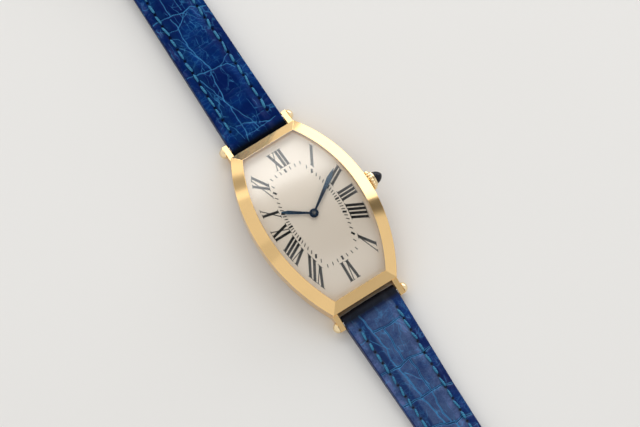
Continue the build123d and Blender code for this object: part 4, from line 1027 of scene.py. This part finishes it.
def foldMarks(half, across, along, seed):
    # how strongly folds mark each point of the grid, and how far off the nearest one is
    stray, waves = strap["foldStray"], strap["foldWaves"]
    lineX = across * half["way"] + stray * wander(across, along, waves[0], seed)
    lineY = along + stray * wander(along, across, waves[1], seed + 1)
    nearest = np.full(across.shape, strap["far"])
    marks = np.zeros(across.shape)
    for weight, points in half["folds"] + moreFolds(half, seed):
        drawn = half["foldWidth"] * (0.4 + 0.6 * weight ** 2)
        width = max(drawn, strap["finestFold"])
        depth = (drawn / width) ** 0.25 * (0.35 + 0.65 * weight)
        for first, last in zip(points, points[1:]):
            gap = segmentDistance(lineX, lineY, first, last)
            marks = np.maximum(marks, depth * np.exp(-(gap / width) ** 2))
            nearest = np.minimum(nearest, gap + (1 - weight) * 1.2)
    return marks, np.exp(-nearest / strap["swellWidth"])


def makeStrapTop(half, finish, seed):
    line = strapLine(half)
    ring = strapSection()
    rows, columns = len(line), len(ring)
    straight = [strapShape(half, row[4])[0] for row in line]
    widths = [width * tipShare(half, row[4]) for width, row in zip(straight, line)]
    corners = [min(strap["corner"], width * 0.3) for width in widths]

    # each point's place on the flat strap
    flatX = np.zeros((rows, columns))
    for row, (width, corner) in enumerate(zip(widths, corners)):
        for column, (kind, share, height) in enumerate(ring):
            inner = {"corner": corner - corner * cos(height), "top": corner}.get(kind, 0)
            flatX[row, column] = share * (width - inner)
    places = np.array([[row[4]] * columns for row in line])
    along = case["barY"] + places

    # relief and the shares that the leather's colours follow
    marks, near = foldMarks(half, flatX, along, seed)
    relief = -strap["foldDepth"] * marks - strap["swellDepth"] * near
    (high, slow), (low, quick) = strap["waves"]
    relief += high * wander(along, flatX, slow, seed + 2) + low * wander(flatX, along, quick, seed + 3)
    inward = np.array(widths)[:, None] - np.abs(flatX)
    left = flatX * half["way"] < 0
    within = {name: bandShare(inward, *strip) for name, strip in strips.items()}
    # painted sheen on the scales' domes, less on the right's flat border
    sheenDomes = (1 - near) * np.where(left, 1.0, 1 - 0.8 * within["flatBorder"])
    # painted shade on the left slope, which faces away from the light
    shades = np.where(left, within["leftShade"], 0.0)
    # painted sheen along the left border, the right slope and its rim
    rightSheen = np.maximum(0.5 * within["rightSheen"], 0.2 * within["rightRim"])
    sheens = np.where(left, 0.9 * within["leftSheen"], rightSheen)
    grooves, holes = sewnMarks(half, flatX, places, np.array(straight)[:, None] * np.ones(columns))

    form = bmesh.new()
    layers = {key: form.verts.layers.float.new(key) for key in ("fold", "swell", "edge", "shade", "sheen")}
    for vert, row, column in gridVerts(form, rows, columns):
        innerY, innerZ, outerY, outerZ, place, padding = line[row]
        kind, share, height = ring[column]
        spot = row, column
        drop = padDrop(inward[spot]) * padding
        if kind in ("corner", "wall"):
            drop += corners[row] * (1 - (sin(height) if kind == "corner" else 0))
        if kind in ("corner", "top"):
            drop -= relief[spot] * (0.4 if kind == "corner" else 1.0) * padding
            drop += strap["grooveDepth"] * grooves[spot] + strap["holeDepth"] * holes[spot]
        up = {"wall": height, "base": 0.0}.get(kind, 1.0)
        level = up * max(0.05, 1 - drop / sqrt((outerY - innerY) ** 2 + (outerZ - innerZ) ** 2))
        y = innerY + (outerY - innerY) * level
        vert.co = strapPoint(half, flatX[spot], y, innerZ + (outerZ - innerZ) * level)
        # painted shadow of the case on the half's end, where the painted sheen is taken out
        caseShadow = min(1.0, max(0.0, (half["caseShade"] - place) / 2.0))
        if kind == "top":
            vert[layers["fold"]] = marks[spot]
            vert[layers["swell"]] = sheenDomes[spot] * (1 - caseShadow)
            vert[layers["shade"]] = shades[spot]
        if kind in ("corner", "top"):
            vert[layers["sheen"]] = sheens[spot]
        # painted shade in the stitch holes and the groove, and the painted shadow of the case, mixed with the
        # edge paint
        hole = max(min(1.0, 1.3 * holes[spot]), edgePaintAndShadeShares["groove"] * grooves[spot])
        vert[layers["edge"]] = max(edgePaintAndShadeShares.get(kind, hole), edgePaintAndShadeShares["case"] * caseShadow ** 1.3)
    closeSkin(form)
    name = half["name"]
    piece = finishMesh(form, name + "_top", finish, name, (name + "_leather",))
    return piece


shortTop = makeStrapTop(shortHalf, shortLeather, 3)
tailTop = makeStrapTop(tailHalf, tailLeather, 8)
print("strap leather modelled")


# Lining: smooth, glued under the padded leather, with softly rounded edges
lining = {
    "start": 1.78,
    "rows": 120,
    "tipRows": 15,
    "edge": ((-1, 1.0), (-1, 0.6), (-1, 0.3), (-0.985, 0.1), (-0.96, 0.0)),
    "underColumns": 16,
    "topColumns": 8,
}


def liningRing():
    # around the lining's section: place across from -1 to 1 and share of the height
    edge, under, top = lining["edge"], lining["underColumns"], lining["topColumns"]
    first = edge[-1][0]
    ring = list(edge) + [(first - 2 * first * step / under, 0.0) for step in range(1, under)]
    ring += [(-share, height) for share, height in reversed(edge)]
    return ring + [(1 - 2 * step / top, 1.0) for step in range(1, top)]


def makeLiningPiece(half):
    form = bmesh.new()
    start, rows, tipRows = lining["start"], lining["rows"], lining["tipRows"]
    stop = half["length"] - (start if half["way"] > 0 else strap["tipLength"])
    places = [start + (stop - start) * step / rows for step in range(rows + 1)]
    if half["way"] < 0:
        turns = [radians(90 * step / tipRows) for step in range(1, tipRows + 1)]
        places += [stop + strap["tipLength"] * sin(turn) for turn in turns]
    ring = liningRing()
    for vert, row, column in gridVerts(form, len(places), len(ring)):
        share, height = ring[column]
        width, floor = strapShape(half, places[row])[:2]
        x = share * width * tipShare(half, places[row])
        vert.co = strapPoint(half, x, places[row], floor + height * strap["lining"])
    closeSkin(form)
    name = half["name"]
    return finishMesh(form, name + "_under", liningLeather, name, (name + "_lining",))


shortUnder = makeLiningPiece(shortHalf)
tailUnder = makeLiningPiece(tailHalf)
print("lining modelled")


# Holes punched through both layers
punches = {
    "holeRadius": 0.8,
    "holeCount": 7,
    "holePitch": 6.0,
    "lastInset": 11.0,
    "slotHalfWidth": 1.0,
    "slotLength": 4.2,
    "slotReach": 7.0,          # the slot's tool runs on past the strap's end
    "middle": 1.5,
    "depth": 6.0,
}


def punch(pieces, form):
    # cuts a form out of the pieces and throws it away
    tool = placeMesh(form, "tool")
    for piece in pieces:
        cut = piece.modifiers.new("punch", "BOOLEAN")
        cut.operation = "DIFFERENCE"
        cut.solver = "EXACT"
        cut.object = tool
        graph = bpy.context.evaluated_depsgraph_get()
        cutMesh = bpy.data.meshes.new_from_object(piece.evaluated_get(graph))
        piece.modifiers.clear()
        cutMesh.name = piece.name
        piece.data = cutMesh
    bpy.data.objects.remove(tool)


form = bmesh.new()
for hole in range(punches["holeCount"]):
    place = tailHalf["length"] - punches["lastInset"] - hole * punches["holePitch"]
    spot = Matrix.Translation((0, -case["barY"] - place, case["tableZ"] + punches["middle"]))
    bmesh.ops.create_cone(form, cap_ends=True, segments=24, radius1=punches["holeRadius"],
                          radius2=punches["holeRadius"], depth=punches["depth"], matrix=spot)
punch((tailTop, tailUnder), form)

form = bmesh.new()
middle = case["barY"] + shortHalf["length"] - punches["slotLength"] + punches["slotReach"] / 2
spot = Matrix.Translation((0, middle, case["tableZ"] + punches["middle"]))
size = Matrix.Diagonal((2 * punches["slotHalfWidth"], punches["slotReach"], punches["depth"], 1))
bmesh.ops.create_cube(form, size=1, matrix=spot @ size)
punch((shortTop, shortUnder), form)
print("holes punched")


# Stitching

def makeStitches(half, seed):
    dice = random.Random(seed)
    form = bmesh.new()
    for under in (False, True):
        for x, place, heading in sewnPlaces(half)[1]:
            width, floor, top = strapShape(half, place)
            level = floor if under else top - padDrop(width * tipShare(half, place) - abs(x))
            length, stray, lean, girth = [dice.uniform(*span) for span in stitches["uneven"]]
            length *= half["stitchPitch"] * stitches["lengthShare"]
            slant = 0 if under else (stitches["slant"] + lean) * (1 if x > 0 else -1)
            made = bmesh.ops.create_uvsphere(form, u_segments=8, v_segments=8, radius=1)["verts"]
            for vert in made:
                share = vert.co.z
                full = stitches["radius"] * girth * (1 + share ** 2) ** 0.5
                lift = vert.co.y * full * stitches["flatness"] + stitches["proud"]
                lift -= stitches["sink"] * share ** 4
                if under:
                    lift = -lift + stitches["underSink"]
                away = vert.co.x * full + share * slant
                across = x + heading.x * (share * length + stray) + heading.y * away
                y = place + heading.y * (share * length + stray) - heading.x * away
                vert.co = strapPoint(half, across, y, level + lift)
    finishMesh(form, half["name"] + "_stitches", threadFinish, half["name"])


makeStitches(shortHalf, 5)
makeStitches(tailHalf, 6)
print("stitching sewn")


# Keepers: flat leather loops with rounded corners
keeper = {
    "width": 4.5,
    "wall": 0.7,
    "innerHalf": 6.4,
    "top": 6.35,
    "corner": 1.3,
    "cornerSteps": 8,
    "step": 0.5,
    "bandColumns": 12,
    "round": (0.2, 0.05, 0.08),   # the outer edge's rounding: its reach, and a point on it across and down
    "chamfer": 0.12,
    "creaseInset": 0.75,
    "creaseWidth": 0.12,
    "creaseDepth": 0.05,
    "creaseTone": 0.35,
    "sideTone": 0.5,
    "dome": 0.6,
    # place along the half and height of the underside
    "fixed": (66.0, 1.56),
    "sliding": (53.0, -0.03),
}


def keeperPath(low):
    # the loop's outer line: x, z and the way out
    outer, corner, steps = keeper["innerHalf"] + keeper["wall"], keeper["corner"], keeper["cornerSteps"]
    side, top, base = outer - corner, keeper["top"] - corner, low + corner
    path = []
    for x, z, first in ((side, top, 0), (-side, top, 90), (-side, base, 180), (side, base, 270)):
        for step in range(steps + 1):
            angle = radians(first + 90 * step / steps)
            path.append((x + corner * cos(angle), z + corner * sin(angle), cos(angle), sin(angle)))
    dense = []
    for here, there in zip(path, path[1:] + path[:1]):
        pieces = max(1, int(sqrt((there[0] - here[0]) ** 2 + (there[1] - here[1]) ** 2) / keeper["step"]))
        for step in range(pieces):
            dense.append([start + (end - start) * step / pieces for start, end in zip(here, there)])
    return dense


def keeperRing():
    # across the loop's band: place along the strap and depth in from the outer line
    half, wall, columns = keeper["width"] / 2, keeper["wall"], keeper["bandColumns"]
    chamfer = keeper["chamfer"]
    reach, inset, down = keeper["round"]
    ring = [(-half, reach), (-half + inset, down), (-half + reach, 0.0)]
    ring += [(-half + reach + (2 * half - 2 * reach) * step / columns, 0.0) for step in range(1, columns)]
    ring += [(half - reach, 0.0), (half - inset, down), (half, reach)]
    ring += [(half, wall - chamfer), (half - chamfer, wall)]
    ring += [(half * share, wall) for share in (0.5, 0.0, -0.5)]
    return ring + [(-half + chamfer, wall), (-half, wall - chamfer)]


def makeKeeper(name, place, low, body, stands):
    form = bmesh.new()
    edge, fold, swell = [form.verts.layers.float.new(key) for key in ("edge", "fold", "swell")]
    path, ring = keeperPath(low), keeperRing()
    for vert, row, column in gridVerts(form, len(path) + 1, len(ring)):
        x, z, wayX, wayZ = path[row % len(path)]
        across, depth = ring[column]
        crease = 0.0
        if depth == 0.0:
            gap = abs(across) - keeper["width"] / 2 + keeper["creaseInset"]
            crease = np.exp(-(gap / keeper["creaseWidth"]) ** 2)
            depth = keeper["creaseDepth"] * crease
        inward = depth / max(1e-6, sqrt(wayX ** 2 + wayZ ** 2))
        vert[edge] = keeper["sideTone"] if depth > 0.1 else 0.0
        vert[fold] = keeper["creaseTone"] * crease
        vert[swell] = keeper["dome"]
        vert.co = Vector((x - wayX * inward, case["barY"] + place + across,
                          case["tableZ"] + z - wayZ * inward))
    bmesh.ops.remove_doubles(form, verts=form.verts, dist=0.002)
    finishMesh(form, name, shortLeather, body, stands)


makeKeeper("keeper_fixed", *keeper["fixed"], "strap_12", ("fixed_keeper",))
makeKeeper("keeper_sliding", *keeper["sliding"], "keeper_body", ("sliding_keeper",))
print("keepers modelled")


# Floor, light and world
studio = {
    "floorSize": 3000,
    "floorGap": 0.01,
    # sky brightness from straight down to straight up
    "sky": ((0.0, 0.68), (0.49, 0.78), (0.56, 0.84), (0.84, 0.85), (0.94, 0.82), (1.0, 0.80)),
    "skyColour": (1.0, 0.985, 0.965),
    # cards: the way they stand, the cosines where they are full and where they end, how dark they are
    "cards": (
        ((0.936, -0.064, 0.346), 0.9992, 0.989, 0.80),
        ((0.21, -0.04, 0.98), 0.985, 0.968, 0.95),
        ((0.03, 0.24, 0.97), 0.985, 0.955, 0.93),
        ((0.15, -0.34, 0.93), 0.985, 0.94, 0.18),
        ((0.16, -0.96, 0.23), 0.99, 0.95, 0.28),
        ((-0.487, 0.808, 0.333), 0.9994, 0.9960, 0.42),
        ((-0.568, 0.722, 0.395), 0.9998, 0.9978, -0.65),
        ((-0.37, 0.89, 0.25), 0.9990, 0.9960, -0.55),
        ((-0.792, 0.06, 0.602), 0.9965, 0.9900, 0.17),
    ),
    "lamps": {
        # name: place, size, watts, colour
        "key": ((0.26, 0.75, 0.67), (0.95, 0.70), 3.1, (0.96, 0.985, 1.0)),
        "side": ((0.853, 0.453, 0.25), (1.01, 0.46), 2.6, (0.92, 0.94, 1.0)),
        "far": ((0.17, 0.97, 0.10), (0.6, 0.19), 2.1, (1.0, 0.98, 0.96)),
    },
}

form = bmesh.new()
bmesh.ops.create_grid(form, x_segments=2, y_segments=2, size=studio["floorSize"] / 2)
bmesh.ops.translate(form, vec=(0, 0, cadBox[0][2] / metre - studio["floorGap"]), verts=form.verts)
placeMesh(form, "floor", makeGrained("paleFloor"))

for name, (place, size, watts, colour) in studio["lamps"].items():
    lampData = bpy.data.lights.new(name, "AREA")
    lampData.shape = "RECTANGLE"
    lampData.size, lampData.size_y = size
    lampData.energy = watts
    lampData.color = colour
    lamp = bpy.data.objects.new(name, lampData)
    lamp.location = place
    lamp.rotation_euler = Vector(place).to_track_quat("Z", "Y").to_euler()
    bpy.context.scene.collection.objects.link(lamp)

world = bpy.data.worlds.new("studio")
world.use_nodes = True
bpy.context.scene.world = world
sky = Board(world.node_tree)
direction = sky.node("TexCoord", output="Generated")
height = sky.node("SeparateXYZ", {0: direction}, "Z")
rise = sky.node("MapRange", {"Value": height, "From Min": -1.0})
stops = []
for place, bright in studio["sky"]:
    stops.append((place, [bright * channel for channel in studio["skyColour"]] + [1]))
glow = sky.node("ValToRGB", {"Fac": rise}, stops=stops)
strength = 1
for way, inner, outer, dark in studio["cards"]:
    values = {0: direction, 1: Vector(way).normalized()}
    lean = sky.node("VectorMath", values, "Value", operation="DOT_PRODUCT")
    strength = sky.clear(lean, outer, inner, 1.0, 1.0 - dark) * strength
shining = sky.node("Background", {"Color": glow, "Strength": strength})
sky.node("OutputWorld", {"Surface": shining})
print("studio lit")
